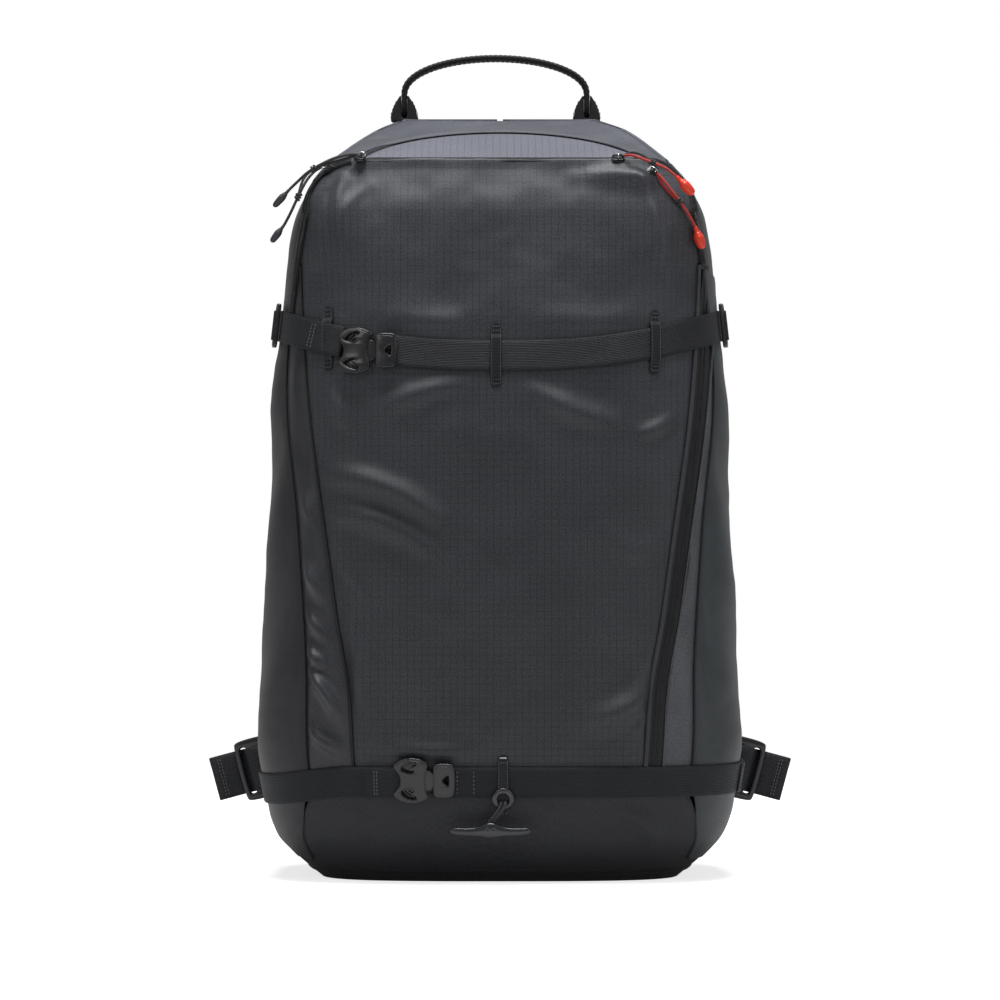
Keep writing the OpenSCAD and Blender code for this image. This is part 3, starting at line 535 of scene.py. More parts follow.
# Shader groups that several materials share
def newGroup(name, inputs, outputs):
    group = bpy.data.node_groups.new(name, "ShaderNodeTree")
    for label, kind, value in inputs:
        socket = group.interface.new_socket(label, in_out="INPUT", socket_type=kind)
        if value is not None:
            socket.default_value = value
    for label, kind in outputs:
        group.interface.new_socket(label, in_out="OUTPUT", socket_type=kind)
    return group, group.nodes.new("NodeGroupInput"), group.nodes.new("NodeGroupOutput")


def mathNode(tree, operation, a, b=None, c=None, clamp=False):
    # Maths node; each input is a number or a socket
    node = tree.nodes.new("ShaderNodeMath")
    node.operation, node.use_clamp = operation, clamp
    for k, value in enumerate((a, b, c)):
        if value is None:
            continue
        if isinstance(value, (int, float)):
            node.inputs[k].default_value = value
        else:
            tree.links.new(value, node.inputs[k])
    return node.outputs[0]


def splitVector(tree, vector):
    # The three numbers of a vector as sockets
    node = tree.nodes.new("ShaderNodeSeparateXYZ")
    tree.links.new(vector, node.inputs[0])
    return node.outputs


# Threads over and under: height = sin(u) sin(v), one thread each half turn
weaveGroup, weaveIn, weaveOut = newGroup(
    "threads", [("Vector", "NodeSocketVector", None), ("Across", "NodeSocketFloat", 1.0),
                ("Along", "NodeSocketFloat", 1.0)],
    [("Height", "NodeSocketFloat")])
threadU, threadV, _ = splitVector(weaveGroup, weaveIn.outputs["Vector"])
sines = []
for place, size in ((threadU, "Across"), (threadV, "Along")):
    turn = mathNode(weaveGroup, "MULTIPLY", place, math.pi)
    sines.append(mathNode(weaveGroup, "SINE", mathNode(weaveGroup, "DIVIDE", turn, weaveIn.outputs[size])))
crossing = mathNode(weaveGroup, "MULTIPLY", *sines)
weaveGroup.links.new(mathNode(weaveGroup, "MULTIPLY_ADD", crossing, .5, .5), weaveOut.inputs["Height"])

# Ripstop lines: 1 where u or v is within a line's width of a whole number of squares
gridGroup, gridIn, gridOut = newGroup(
    "ripstop", [("Vector", "NodeSocketVector", None), ("Square", "NodeSocketFloat", 5.0),
                ("Line", "NodeSocketFloat", .5)],
    [("Across", "NodeSocketFloat"), ("Upright", "NodeSocketFloat")])
gridU, gridV, _ = splitVector(gridGroup, gridIn.outputs["Vector"])
for coordinate, label in ((gridU, "Upright"), (gridV, "Across")):
    cell = mathNode(gridGroup, "FRACT", mathNode(gridGroup, "DIVIDE", coordinate, gridIn.outputs["Square"]))
    fromFar = mathNode(gridGroup, "SUBTRACT", 1.0, cell)
    near = mathNode(gridGroup, "MULTIPLY", mathNode(gridGroup, "MINIMUM", cell, fromFar),
                    gridIn.outputs["Square"])
    gridGroup.links.new(mathNode(gridGroup, "LESS_THAN", near, gridIn.outputs["Line"]), gridOut.inputs[label])

# Soft patches of wear and dust: two sizes of noise put together
wearGroup, wearIn, wearOut = newGroup(
    "wear", [("Vector", "NodeSocketVector", None), ("Large", "NodeSocketFloat", .02),
             ("Small", "NodeSocketFloat", .4)],
    [("Patches", "NodeSocketFloat"), ("Specks", "NodeSocketFloat")])
for label, size in (("Patches", "Large"), ("Specks", "Small")):
    texture = wearGroup.nodes.new("ShaderNodeTexNoise")
    texture.inputs["Detail"].default_value = 4.0
    wearGroup.links.new(wearIn.outputs["Vector"], texture.inputs["Vector"])
    wearGroup.links.new(wearIn.outputs[size], texture.inputs["Scale"])
    wearGroup.links.new(texture.outputs["Fac"], wearOut.inputs[label])


def linear(r, g, b):
    # Screen colour from 0 to 255 as linear light: (c + .055) / 1.055 to the power 2.4, or c / 12.92 when dark
    return [((c / 255 + .055) / 1.055) ** 2.4 if c > 10.3 else c / 255 / 12.92 for c in (r, g, b)] + [1.0]


def place(tree, group, vector, **values):
    # A node group put to use with its numbers set; gives its outputs by name
    node = tree.nodes.new("ShaderNodeGroup")
    node.node_tree = group
    tree.links.new(vector, node.inputs["Vector"])
    for label, value in values.items():
        node.inputs[label].default_value = value
    return node.outputs


def mixColour(tree, amount, a, b, blend="MIX"):
    # Mix of two colours; the amount and the colours are numbers or sockets
    node = tree.nodes.new("ShaderNodeMix")
    node.data_type, node.blend_type = "RGBA", blend
    for key, value in (("Factor", amount), ("A", a), ("B", b)):
        socket = [s for s in node.inputs if s.name == key and s.enabled][0]
        if isinstance(value, (float, int, list)):
            socket.default_value = value
        else:
            tree.links.new(value, socket)
    return [s for s in node.outputs if s.enabled][0]


def startMaterial(name, uv=True):
    # New material mapped by its UV, or by the space of the object turned into millimetres
    material = bpy.data.materials.new(name)
    material.use_nodes = True
    tree = material.node_tree
    shader = tree.nodes["Principled BSDF"]
    coordinate = tree.nodes.new("ShaderNodeTexCoord")
    mapping = tree.nodes.new("ShaderNodeMapping")
    tree.links.new(coordinate.outputs["UV" if uv else "Object"], mapping.inputs["Vector"])
    mapping.inputs["Scale"].default_value = (1, 1, 1) if uv else (1000, 1000, 1000)
    return material, tree, shader, mapping


def bumpNode(tree, shader, height, strength, distance):
    # Bump from a height socket, its distance in millimetres
    node = tree.nodes.new("ShaderNodeBump")
    node.inputs["Strength"].default_value, node.inputs["Distance"].default_value = strength, distance * mm
    tree.links.new(height, node.inputs["Height"])
    tree.links.new(node.outputs["Normal"], shader.inputs["Normal"])


def weighted(tree, pairs):
    # Sum of sockets times numbers
    total = None
    for socket, weight in pairs:
        term = mathNode(tree, "MULTIPLY", socket, weight)
        total = term if total is None else mathNode(tree, "ADD", total, term)
    return total


def clothMaterial(name, colour, worn, thread=.55, square=0.0, line=.35, lineShade=.8, rough=.58, bump=.7,
                  patch=.35, falls=None):
    # Woven cloth: relief of the threads, a grid of thicker threads, and worn patches and specks
    material, tree, shader, mapping = startMaterial(name)
    vector = mapping.outputs["Vector"]
    threads = place(tree, weaveGroup, vector, Across=thread, Along=thread)["Height"]
    wear = place(tree, wearGroup, vector, Large=.02, Small=.9)
    mask = mathNode(tree, "MULTIPLY", mathNode(tree, "SUBTRACT", wear["Patches"], .35, clamp=True), patch * 3,
                    clamp=True)
    base = mixColour(tree, mask, linear(*colour), linear(*worn))
    speck = mathNode(tree, "MULTIPLY_ADD", wear["Specks"], 3.0, -1.0, clamp=True)
    grain = mixColour(tree, speck, [.62, .62, .62, 1], [1.4, 1.4, 1.4, 1])
    base = mixColour(tree, 1.0, base, grain, "MULTIPLY")
    if falls:
        # Paler towards the top of the bag, where the light catches the cloth
        low, high, dim, bright = falls
        position = tree.nodes.new("ShaderNodeTexCoord").outputs["Object"]
        climb = tree.nodes.new("ShaderNodeMapRange")
        climb.inputs["From Min"].default_value, climb.inputs["From Max"].default_value = low * mm, high * mm
        tree.links.new(splitVector(tree, position)[2], climb.inputs["Value"])
        shade = mathNode(tree, "POWER", climb.outputs["Result"], 2.2)
        shade = mixColour(tree, shade, [dim, dim, dim, 1], [bright, bright, bright * 1.02, 1])
        base = mixColour(tree, 1.0, base, shade, "MULTIPLY")
    heights = [(threads, .7), (wear["Specks"], .5)]
    if square:
        lines = place(tree, gridGroup, vector, Square=square, Line=line)
        both = mathNode(tree, "ADD", mathNode(tree, "MULTIPLY", lines["Upright"], 1 - lineShade),
                        mathNode(tree, "MULTIPLY", lines["Across"], (1 - lineShade) * .55), clamp=True)
        base = mixColour(tree, both, base, [.004, .004, .005, 1])
        heights.append((mathNode(tree, "ADD", lines["Upright"], lines["Across"], clamp=True), .8))
    tree.links.new(base, shader.inputs["Base Color"])
    rougher = weighted(tree, [(wear["Specks"], .16), (wear["Patches"], .12), (threads, .05)])
    tree.links.new(mathNode(tree, "ADD", rougher, rough - .16), shader.inputs["Roughness"])
    shader.inputs["Sheen Weight"].default_value = .06
    shader.inputs["Sheen Roughness"].default_value = .45
    shader.inputs["Specular IOR Level"].default_value = .4
    bumpNode(tree, shader, weighted(tree, heights), bump, .16)
    return material


def webbingMaterial(name, colour, rib=1.05, pick=1.5, rough=.58):
    # Ribs run along the webbing and picks cross them; u is across and v along, in millimetres
    material, tree, shader, mapping = startMaterial(name)
    vector = mapping.outputs["Vector"]
    threads = place(tree, weaveGroup, vector, Across=rib * .5, Along=pick)["Height"]
    u = splitVector(tree, vector)[0]
    ribs = mathNode(tree, "ABSOLUTE", mathNode(tree, "SINE", mathNode(tree, "MULTIPLY", u, math.pi / rib)))
    wear = place(tree, wearGroup, vector, Large=.05, Small=1.3)
    shade = mathNode(tree, "MULTIPLY", ribs, .7, clamp=True)
    dark = [c * .45 for c in linear(*colour)[:3]] + [1.0]
    base = mixColour(tree, shade, dark, linear(*[min(255, c * 1.16) for c in colour]))
    base = mixColour(tree, mathNode(tree, "MULTIPLY", wear["Patches"], .5), base,
                     linear(*[min(255, c * 1.35 + 3) for c in colour]))
    tree.links.new(base, shader.inputs["Base Color"])
    tree.links.new(mathNode(tree, "ADD", mathNode(tree, "MULTIPLY", wear["Specks"], .2), rough - .1),
                   shader.inputs["Roughness"])
    shader.inputs["Sheen Weight"].default_value = .05
    shader.inputs["Specular IOR Level"].default_value = .3
    bumpNode(tree, shader, weighted(tree, [(ribs, 1.0), (threads, .55), (wear["Specks"], .25)]), .8, .3)
    return material


def mouldedMaterial(name, colour, rough=.36, grain=.5, metal=0.0, wearTint=1.7, coat=0.0):
    # Plastic, rubber or metal: fine grain, and tinted worn patches
    material, tree, shader, mapping = startMaterial(name, uv=False)
    vector = mapping.outputs["Vector"]
    wear = place(tree, wearGroup, vector, Large=.11, Small=1.6)
    mask = mathNode(tree, "MULTIPLY", mathNode(tree, "SUBTRACT", wear["Patches"], .45, clamp=True), 2.4,
                    clamp=True)
    base = mixColour(tree, mask, linear(*colour), [min(1, c * wearTint) for c in linear(*colour)[:3]] + [1.0])
    tree.links.new(base, shader.inputs["Base Color"])
    tree.links.new(mathNode(tree, "ADD", weighted(tree, [(wear["Specks"], .2), (wear["Patches"], .16)]),
                            rough - .17), shader.inputs["Roughness"])
    shader.inputs["Metallic"].default_value = metal
    shader.inputs["Coat Weight"].default_value = coat
    bumpNode(tree, shader, wear["Specks"], grain, .06)
    return material


def cordMaterial(name, colour, pitch=1.1):
    # Braid: two sets of strands wound opposite ways, u round the cord and v along it
    material, tree, shader, mapping = startMaterial(name)
    vector = mapping.outputs["Vector"]
    u, v, _ = splitVector(tree, vector)
    k = math.pi / pitch
    one = mathNode(tree, "SINE", mathNode(tree, "MULTIPLY", mathNode(tree, "ADD", u, v), k))
    two = mathNode(tree, "SINE", mathNode(tree, "MULTIPLY", mathNode(tree, "SUBTRACT", u, v), k))
    braid = mathNode(tree, "ABSOLUTE", mathNode(tree, "MULTIPLY", one, two))
    specks = place(tree, wearGroup, vector, Large=.3, Small=2.2)["Specks"]
    dark = [c * .4 for c in linear(*colour)[:3]] + [1.0]
    tree.links.new(mixColour(tree, mathNode(tree, "MULTIPLY", braid, 1.5, clamp=True), dark, linear(*colour)),
                   shader.inputs["Base Color"])
    tree.links.new(mathNode(tree, "ADD", mathNode(tree, "MULTIPLY", specks, .25), .42),
                   shader.inputs["Roughness"])
    shader.inputs["Sheen Weight"].default_value = .2
    bumpNode(tree, shader, weighted(tree, [(braid, 1.0), (specks, .2)]), .7, .25)
    return material


def meshMaterial(name, colour):
    # Spacer mesh: rounded holes between threads, on Object coordinates as a remeshed pad has no UVs
    material, tree, shader, mapping = startMaterial(name, uv=False)
    vector = mapping.outputs["Vector"]
    holes = tree.nodes.new("ShaderNodeTexVoronoi")
    holeWidth = 2.2
    holes.inputs["Scale"].default_value, holes.inputs["Randomness"].default_value = 1 / holeWidth, .25
    tree.links.new(vector, holes.inputs["Vector"])
    wear = place(tree, wearGroup, vector, Large=.02, Small=1.2)
    rim = mathNode(tree, "MULTIPLY", mathNode(tree, "SUBTRACT", holes.outputs["Distance"], .18, clamp=True),
                   4.0, clamp=True)
    base = mixColour(tree, rim, [c * .3 for c in linear(*colour)[:3]] + [1.0], linear(*colour))
    base = mixColour(tree, mathNode(tree, "MULTIPLY", wear["Patches"], .45), base,
                     linear(*[c * 1.4 for c in colour]))
    tree.links.new(base, shader.inputs["Base Color"])
    tree.links.new(mathNode(tree, "ADD", mathNode(tree, "MULTIPLY", wear["Specks"], .2), .62),
                   shader.inputs["Roughness"])
    shader.inputs["Sheen Weight"].default_value = .4
    bumpNode(tree, shader, weighted(tree, [(rim, 1.0), (wear["Specks"], .3)]), .9, .45)
    return material


paint = {
    "front": clothMaterial("frontRipstop", (47, 49, 54), (58, 60, 65), square=4.6, line=.22, lineShade=.5,
                           rough=.46, patch=.8, falls=(60, 470, .8, 1.35)),
    # The top cloths are paler than the front cloth: painted light, as the top faces take the overhead lamp
    "top": clothMaterial("topRipstop", (96, 98, 109), (112, 114, 125), square=4.6, line=.24, lineShade=.7),
    "rear": clothMaterial("topRearCloth", (62, 64, 73), (84, 86, 95), thread=.7, patch=.9),
    "gusset": clothMaterial("gussetCloth", (60, 62, 67), (84, 86, 91), thread=.7, rough=.46, patch=.9),
    # The left gusset's cloth is a darker copy of the right one's: painted shade, as the left side faces away
    # from the light
    "gussetShaded": clothMaterial("gussetLeftPaintedShade", (40, 41, 46), (58, 59, 64), thread=.7, rough=.36,
                                patch=.6),
    "side": clothMaterial("sideCloth", (43, 48, 51), (62, 69, 73), thread=.7, rough=.44, patch=.6),
    # The left side panel's cloth is a darker copy of the right one's: painted shade, as the left side faces
    # away from the light
    "sideShaded": clothMaterial("sideLeftPaintedShade", (31, 32, 36), (43, 44, 48), thread=.7, rough=.46, patch=.6),
    "boot": clothMaterial("bootCloth", (30, 31, 35), (40, 41, 46), thread=.9, rough=.6, bump=.9),
    "back": clothMaterial("backCloth", (34, 35, 38), (44, 45, 49), thread=.8),
    "binding": clothMaterial("bindingTape", (20, 20, 23), (30, 30, 34), thread=.6, bump=.9, patch=.2),
    "webbing": webbingMaterial("webbing", (19, 21, 25)),
    "lowWebbing": webbingMaterial("lowWebbing", (22, 24, 28)),
    "loopWebbing": webbingMaterial("loopWebbing", (20, 20, 23), rib=.9),
    "hipWebbing": webbingMaterial("hipWebbing", (34, 35, 39), rib=1.3),
    "keeper": webbingMaterial("keeperTape", (26, 28, 32), rib=.8, pick=1.0),
    "zipTape": clothMaterial("zipTape", (22, 23, 26), (30, 31, 35), thread=.5, bump=1.0, patch=.2),
    "coil": mouldedMaterial("zipCoil", (30, 31, 34), rough=.34),
    "plastic": mouldedMaterial("acetal", (22, 23, 26), rough=.24, coat=.25),
    "shinyPlastic": mouldedMaterial("glossAcetal", (30, 32, 36), rough=.2, coat=.4),
    "metal": mouldedMaterial("blackMetal", (70, 70, 74), rough=.3, metal=1.0, grain=.2),
    "bright": mouldedMaterial("brightMetal", (190, 192, 196), rough=.2, metal=1.0, grain=.2),
    "thread": mouldedMaterial("thread", (84, 86, 92), rough=.7),
    "darkThread": mouldedMaterial("darkThread", (30, 31, 34), rough=.7),
    "paleThread": mouldedMaterial("paleThread", (190, 192, 196), rough=.6),
    "blackCord": cordMaterial("blackCord", (30, 30, 33)),
    "redCord": cordMaterial("redCord", (205, 42, 34)),
    "blackRubber": mouldedMaterial("blackRubber", (52, 53, 58), rough=.5, grain=.9),
    "redRubber": mouldedMaterial("redRubber", (232, 62, 34), rough=.42, grain=.6, wearTint=1.15),
    "mesh": meshMaterial("spacerMesh", (44, 45, 49)),
    "padCloth": clothMaterial("padCloth", (40, 41, 45), (50, 51, 56), thread=.8),
    "board": mouldedMaterial("frameBoard", (226, 224, 214), rough=.5, grain=.8, wearTint=.9),
    "lining": clothMaterial("lining", (150, 152, 158), (165, 167, 172), thread=.5),
}
print("materials made")


# Pull cords first: each from its slider to its moulded end
pullSet = {
    "pull_1": {"route": [(-92.1, -63.25, 468.6), (-97, -66, 468.5), (-105, -69, 466.5), (-114, -70, 462.5),
                         (-123.5, -68, 457), (-130, -65, 451.5), (-135.5, -62.5, 446.5)],
               "end": (-146, -58, 435.5), "width": 6.0, "red": False},
    "pull_2": {"route": [(-115.6, -54.6, 461.2), (-120, -58, 458), (-124.5, -61, 452.5), (-128, -63, 446),
                         (-131.5, -64, 438.5), (-135, -64, 431), (-139, -63, 423.5)],
               "end": (-147.5, -60, 412.5), "width": 6.0, "red": False},
    "pull_3": {"route": [(79.8, -63.4, 468), (85, -66.5, 468), (92, -69, 465.5), (99, -73.8, 462.5),
                         (106, -78.3, 459), (113, -80.4, 453.5)],
               "end": (124, -79.2, 442), "width": 8.5, "red": True},
    "pull_4": {"route": [(101.2, -67.2, 456.5), (105, -68.8, 452), (110, -70, 445.5), (115.5, -70.5, 438),
                         (121, -70, 430), (125.5, -68.5, 422)],
               "end": (130.5, -66, 408), "width": 8.5, "red": True}}
cordD = 1.9


def pullEnd(start, end, width):
    # Moulded end: a narrow collar that swells to a flattened bulb, with a soft ridge round it
    start, end = np.array(start, float), np.array(end, float)
    t = np.linspace(0, 1, 34)
    shape = curveThrough([[0, .36], [.1, .46], [.22, .5], [.42, .98], [.6, 1.04], [.84, .9], [.95, .68],
                          [1, .3]], t)
    radius = width * .62 * shape * (1 + .07 * hump(t - .3, .03) - .08 * hump(t - .36, .02))
    path = start + t[:, None] * (end - start)
    return tubePart(path, radius, side=(0, 1, 0), ring=20, squash=.6)


for name, pull in pullSet.items():
    number = name[-1]
    path = smoothPath(pull["route"], 7)
    twinShift = np.sin(np.clip(np.linspace(0, 1, len(path)) / .6, 0, 1) * np.pi)[:, None]
    along, across, up = pathFrames(path, (0, 1, 0))
    cordPaint = paint["redCord" if pull["red"] else "blackCord"]
    cord = makePiece("pullCord" + number, tubePart(path, cordD / 2, side=(0, 1, 0), ring=10), cordPaint, name,
                     "pull_cord_" + number)
    cut = int(len(path) * .6)
    twinSide = 1 if number in "13" else -1
    twinPath = (path + 2.3 * twinShift * up * twinSide + 1.1 * across * twinShift)[:cut + 1]
    twin = makePiece("pullTwin" + number, tubePart(twinPath, cordD / 2 * .92, side=(0, 1, 0), ring=10),
                     paint["blackCord"] if number != "4" else cordPaint, name)
    knotAt = path[cut]
    wraps = np.linspace(0, 1, 60)
    turns = wraps * 2.2 * 2 * np.pi
    spokes = np.cos(turns)[:, None] * across[cut] + np.sin(turns)[:, None] * up[cut]
    coil = knotAt + (wraps[:, None] - .5) * 4.2 * along[cut] + 1.45 * spokes
    knot = makePiece("pullKnot" + number, tubePart(coil, .85, side=along[cut] + [.01, 0, .02], ring=8),
                     paint["blackCord"], name)
    ends = makePiece("pullEnd" + number, pullEnd(pull["route"][-1], pull["end"], pull["width"]),
                     paint["redRubber" if pull["red"] else "blackRubber"], name,
                     "pull_end_" + number)
print("cords made")


# Cloth panels: grids over the skin, with the cloth's own height on top
bagMiddle = (0, 0, 250)


def panelPiece(name, phi, z, region, material, body, standsFor, thick=1.3, extra=0.0, uv=None,
               lift=None):
    # Cloth panel: skin points lifted by the height of the cloth, then thickened inwards
    height = (clothLift(phi, z, region) if lift is None else lift) + extra
    points = lifted(phi, z, height)
    part = gridPart(points, uv)
    return makePiece(name, part, material, body, standsFor, centre=bagMiddle, thick=thick, smooth=70)


def spread(z, xa, xb, count):
    # Rows at heights z, each from xa to xb
    s = np.linspace(0, 1, count)
    x = xa[:, None] * (1 - s) + xb[:, None] * s
    zz = np.broadcast_to(z[:, None], x.shape)
    return angleAt(x, zz), zz, x


rowZ = np.concatenate([np.linspace(bootZ - 1, cornerZ, 190),
                       cornerZ + cornerR * np.sin(np.radians(np.linspace(2, 90, 40)))])
phi, zz, x = spread(rowZ, -panelSeamX(rowZ) + .4, panelSeamX(rowZ) - .4, 170)
arcX = np.cumsum(np.linalg.norm(np.diff(skin(phi, zz), axis=1, prepend=skin(phi, zz)[:, :1]), axis=-1), 1)
arcX = arcX - arcX[:, 85:86]
panelPiece("frontPanel", phi, zz, "front", paint["front"], "pack", "front_panel",
           uv=np.stack([arcX, zz], -1),
           extra=1.0 * hump(zz - creaseZ, 4))

for side, word in ((-1, "left"), (1, "right")):
    gz = np.linspace(bootZ - 1, panelTopZ - 1, 150)
    zipGap = 10.5 * ease(panelTopZ, panelTopZ - 12, gz) if side > 0 else 0 * gz
    phi, zz, x = spread(gz, side * (panelSeamX(gz) + .2 + zipGap), side * (sideSeamX(gz) - .3), 30)
    # The left gusset takes the darker copy of the gusset cloth: painted shade for the side away from the
    # light
    panelPiece("gusset_" + word, phi, zz, "gusset", paint["gusset" if side > 0 else "gussetShaded"], "pack",
               "gusset_" + word)
    t = np.linspace(0, 1, 170)[:, None]
    s = np.linspace(0, 1, 90)[None, :]
    z0 = bootZ + (sideTopZ - bootZ) * t
    a0 = angleAt(sideSeamX(z0) + .1, z0)
    a = a0 + (backCorner - a0) * s
    z1 = bootTop(a)
    first = ease(0, .08, s)
    zz = z0 * (1 - first) + (z1 + (sideTopZ - z1) * t) * first
    # The left side panel takes the darker copy of the side cloth: painted shade for the side away from the
    # light
    panelPiece("sidePanel_" + word, side * a, zz, "side", paint["side" if side > 0 else "sideShaded"], "pack",
               "side_panel_" + word)

t = np.linspace(0, 1, 60)[:, None]
a = np.linspace(backCorner, 360 - backCorner, 110)[None, :]
panelPiece("backPanel", a + 0 * t, 13.5 + (sideTopZ - 13.5) * t + 0 * a, "back", paint["back"], "pack",
           "back_panel",
           lift=.4 * ripple(a * 3, t * 400, 60))

# The boot: rings from its top edge to the floor, closed by a flat bottom
drops = np.concatenate([np.linspace(1, .12, 34), .12 * np.cos(np.radians(np.linspace(10, 90, 8)))])[:, None]
a = np.linspace(-180, 180, 260, endpoint=False)[None, :]
bz = bootTop(a) * drops
bootLift = clothLift(a + 0 * bz, bz + 0 * a, "front") * ease(4, 16, bz) * (np.abs(a) < 60)
ringPoints = lifted(a + 0 * bz, bz, bootLift)
shrink = np.linspace(.97, .02, 10)[:, None, None]
centre = np.array([0, 12.0, 0])
floorRings = centre + (ringPoints[-1:] - centre) * shrink
floorRings[..., 2] = .15
around = np.broadcast_to(np.linspace(0, 960, 261)[None, :], (len(drops) + 10, 261))
down = np.concatenate([np.broadcast_to(bz.mean(1)[:, None], (len(drops), 261)),
                       np.broadcast_to(-np.linspace(5, 150, 10)[:, None], (10, 261))])
makePiece("boot", gridPart(np.concatenate([ringPoints, floorRings]), np.stack([around, down], -1),
                           closed=True), paint["boot"], "pack", "bottom_panel",
          centre=(0, 0, 40), thick=1.6, smooth=60)

# Cloth tucked in where the boot, the gusset and the side panel meet
for side, word in ((-1, "Left"), (1, "Right")):
    a, t = np.linspace(52, 74, 24)[None, :], np.linspace(-1.5, 15, 12)[:, None]
    tuckZ = np.minimum(bootTop(a) + t, bootZ + 6)
    # The left tuck takes the side cloth's darker copy, painted shade
    makePiece("bootTuck" + word, gridPart(lifted(side * a + 0 * tuckZ, tuckZ, -.7)),
              paint["side" if side > 0 else "sideShaded"], "pack", centre=bagMiddle, thick=.5)

# Top: fixed cloth behind the zip's arc, and the lid inside it
lidHalf, lidRise, lidGap, hingeSet = 90.0, 69.0, .6, 8.0
arcR = (lidHalf**2 + lidRise**2) / (2 * lidRise)
arcHalf = math.degrees(math.asin(lidHalf / arcR))
sinTop, cosTop = math.sin(math.radians(bag["topSlope"])), math.cos(math.radians(bag["topSlope"]))


def arcAt(a, r):
    # Ring angle and height of a place on the slope of the top, a degrees round a circle of radius r
    run = r * np.cos(np.radians(a)) - (arcR - lidRise)
    z = creaseZ + run * sinTop
    return angleAt(r * np.sin(np.radians(a)), z), z


arcPhi, arcZ = arcAt(np.linspace(-arcHalf, arcHalf, 90), arcR + .6)
cornerA = np.radians(np.linspace(0, 66, 14))
cz = cornerZ + cornerR * np.cos(cornerA)
cPhi = angleAt(cornerX + cornerR * np.sin(cornerA) - .01, cz)
cPhi, cz = np.append(cPhi, angleAt(sideSeamX(sideTopZ), sideTopZ)), np.append(cz, sideTopZ)
backA = np.linspace(88, 272, 90)
rimPhi = np.concatenate([arcPhi, cPhi, backA, -cPhi[::-1]])
rimZ = np.concatenate([arcZ, cz, np.full(90, sideTopZ), cz[::-1]])
peakZ = bagH - 1
rise = np.concatenate([np.linspace(0, .9, 46), [.93, .96, .98, 1]])[:, None]
tz = rimZ + (peakZ - rimZ) * rise
tPhi = rimPhi + 0 * tz
topLift = (.9 * ripple(tPhi * 2, tz * 2, 70) + .6) * ease(0, .12, rise) * (1 - ease(.8, 1, rise)) - .3
top = lifted(tPhi, tz, topLift)
midY = float(frontY(peakZ) + backY * curveThrough(backShape, peakZ / bagH)) / 2
crown = np.array([0, midY, bagH - .6])
shrink = np.linspace(.9, .03, 9)[:, None, None]
cap = crown + (top[-1:] - crown) * shrink
makePiece("topRear", gridPart(np.concatenate([top, cap]), closed=True), paint["rear"], "pack",
          "top_rear_panel", centre=(0, 20, 380), thick=1.3, smooth=70)

lidR = arcR - lidGap
lidLowZ = creaseZ + hingeSet * sinTop
lidSpan = math.degrees(math.acos((hingeSet + arcR - lidRise) / lidR))
la = np.linspace(-lidSpan, lidSpan, 120)[None, :]
lt = np.linspace(0, 1, 50)[:, None]
lx = lidR * np.sin(np.radians(la)) + 0 * lt
topZ = arcAt(la, lidR)[1]
lz = lidLowZ + (topZ + .02 - lidLowZ) * lt + .02 * lt
lPhi = angleAt(lx, lz)
lidWaves = 1.4 * np.sin(np.pi * lt) * (1 + .5 * ripple(lx, lz * 4, 80)) * (1 - hump(np.abs(la) - lidSpan, 6))
# The lid's paler ripstop is painted light from the overhead lamp
makePiece("lid", gridPart(lifted(lPhi, lz, lidWaves), np.stack([lx, (lz - lidLowZ) / sinTop], -1)),
          paint["top"], "lid", "lid_panel", centre=bagMiddle, thick=1.3, smooth=70)
print("cloth shell made")


# Zips: a woven tape with two rows of coil along a path over the skin
def zipParts(phi, z, width=9.0, lift=.35, pitch=1.25, tooth=(2.5, .72, .62)):
    path, o = lifted(phi, z, lift), outward(phi, z)
    _, across, _ = skinFrames(path, o)
    s = np.linspace(-1, 1, 9)
    sag = -.25 * np.abs(s)[:, None] ** 3
    tape = path[:, None] + (s[:, None] * width / 2) * across[:, None] + sag * o[:, None]
    down = np.concatenate([[0], np.cumsum(np.linalg.norm(np.diff(path, axis=0), axis=-1))])
    uv = np.stack(np.broadcast_arrays(s * width / 2, down[:, None]), -1)
    tapePart = gridPart(tape, uv)
    where = evenly(path, pitch)
    ups = unit(resampled(o, len(where)))
    way = unit(np.gradient(where, axis=0))
    cross = unit(np.cross(ups, way))
    teeth = [scattered(pill(*tooth), where + side * (tooth[0] / 2 + .25) * cross + .45 * ups,
                       unit(cross * side + .32 * way), unit(way - .32 * cross * side), ups)
             for side in (-1, 1)]
    return tapePart, teeth


def zipPiece(name, phi, z, body="pack", **shape):
    # Zip tape and teeth as two pieces
    tape, teeth = zipParts(phi, z, **shape)
    makePiece(name + "Tape", tape, paint["zipTape"], body, centre=bagMiddle, thick=.5)
    makePiece(name + "Coil", teeth, paint["coil"], body)


pz = np.linspace(bootZ + 6, panelTopZ - 2, 160)
zipPiece("pocketZipSide", angleAt(panelSeamX(pz) + 5.4, pz), pz, width=12.5, lift=-.4)
# Upper run of the pocket zip, round the right top corner
uz = np.concatenate([np.linspace(panelTopZ - 2, cornerZ, 12),
                     cornerZ + cornerR * np.sin(np.radians(np.linspace(4, 84, 34)))])
zipPiece("pocketZipCorner", angleAt(sideSeamX(uz) - .6, uz), uz, width=6, lift=.9)
mz = cornerZ + cornerR * np.sin(np.radians(np.linspace(84, 2, 34)))
mz = np.concatenate([mz, np.linspace(cornerZ - 1, 352, 40)])
zipPiece("mainZipSide", -angleAt(sideSeamX(mz) - .6, mz), mz, width=6, lift=.9)
zipPiece("mainZipArc", *arcAt(np.linspace(-arcHalf, arcHalf, 120), arcR + 3.2), width=4.4, lift=.3,
         tooth=(1.6, .62, .55))
tx = np.linspace(-86, 86, 90)
zipPiece("pocketZipTop", angleAt(tx, np.full(90, creaseZ + 1.1)), np.full(90, creaseZ + 1.1), width=3.4,
         lift=.25, tooth=(1.2, .6, .5))


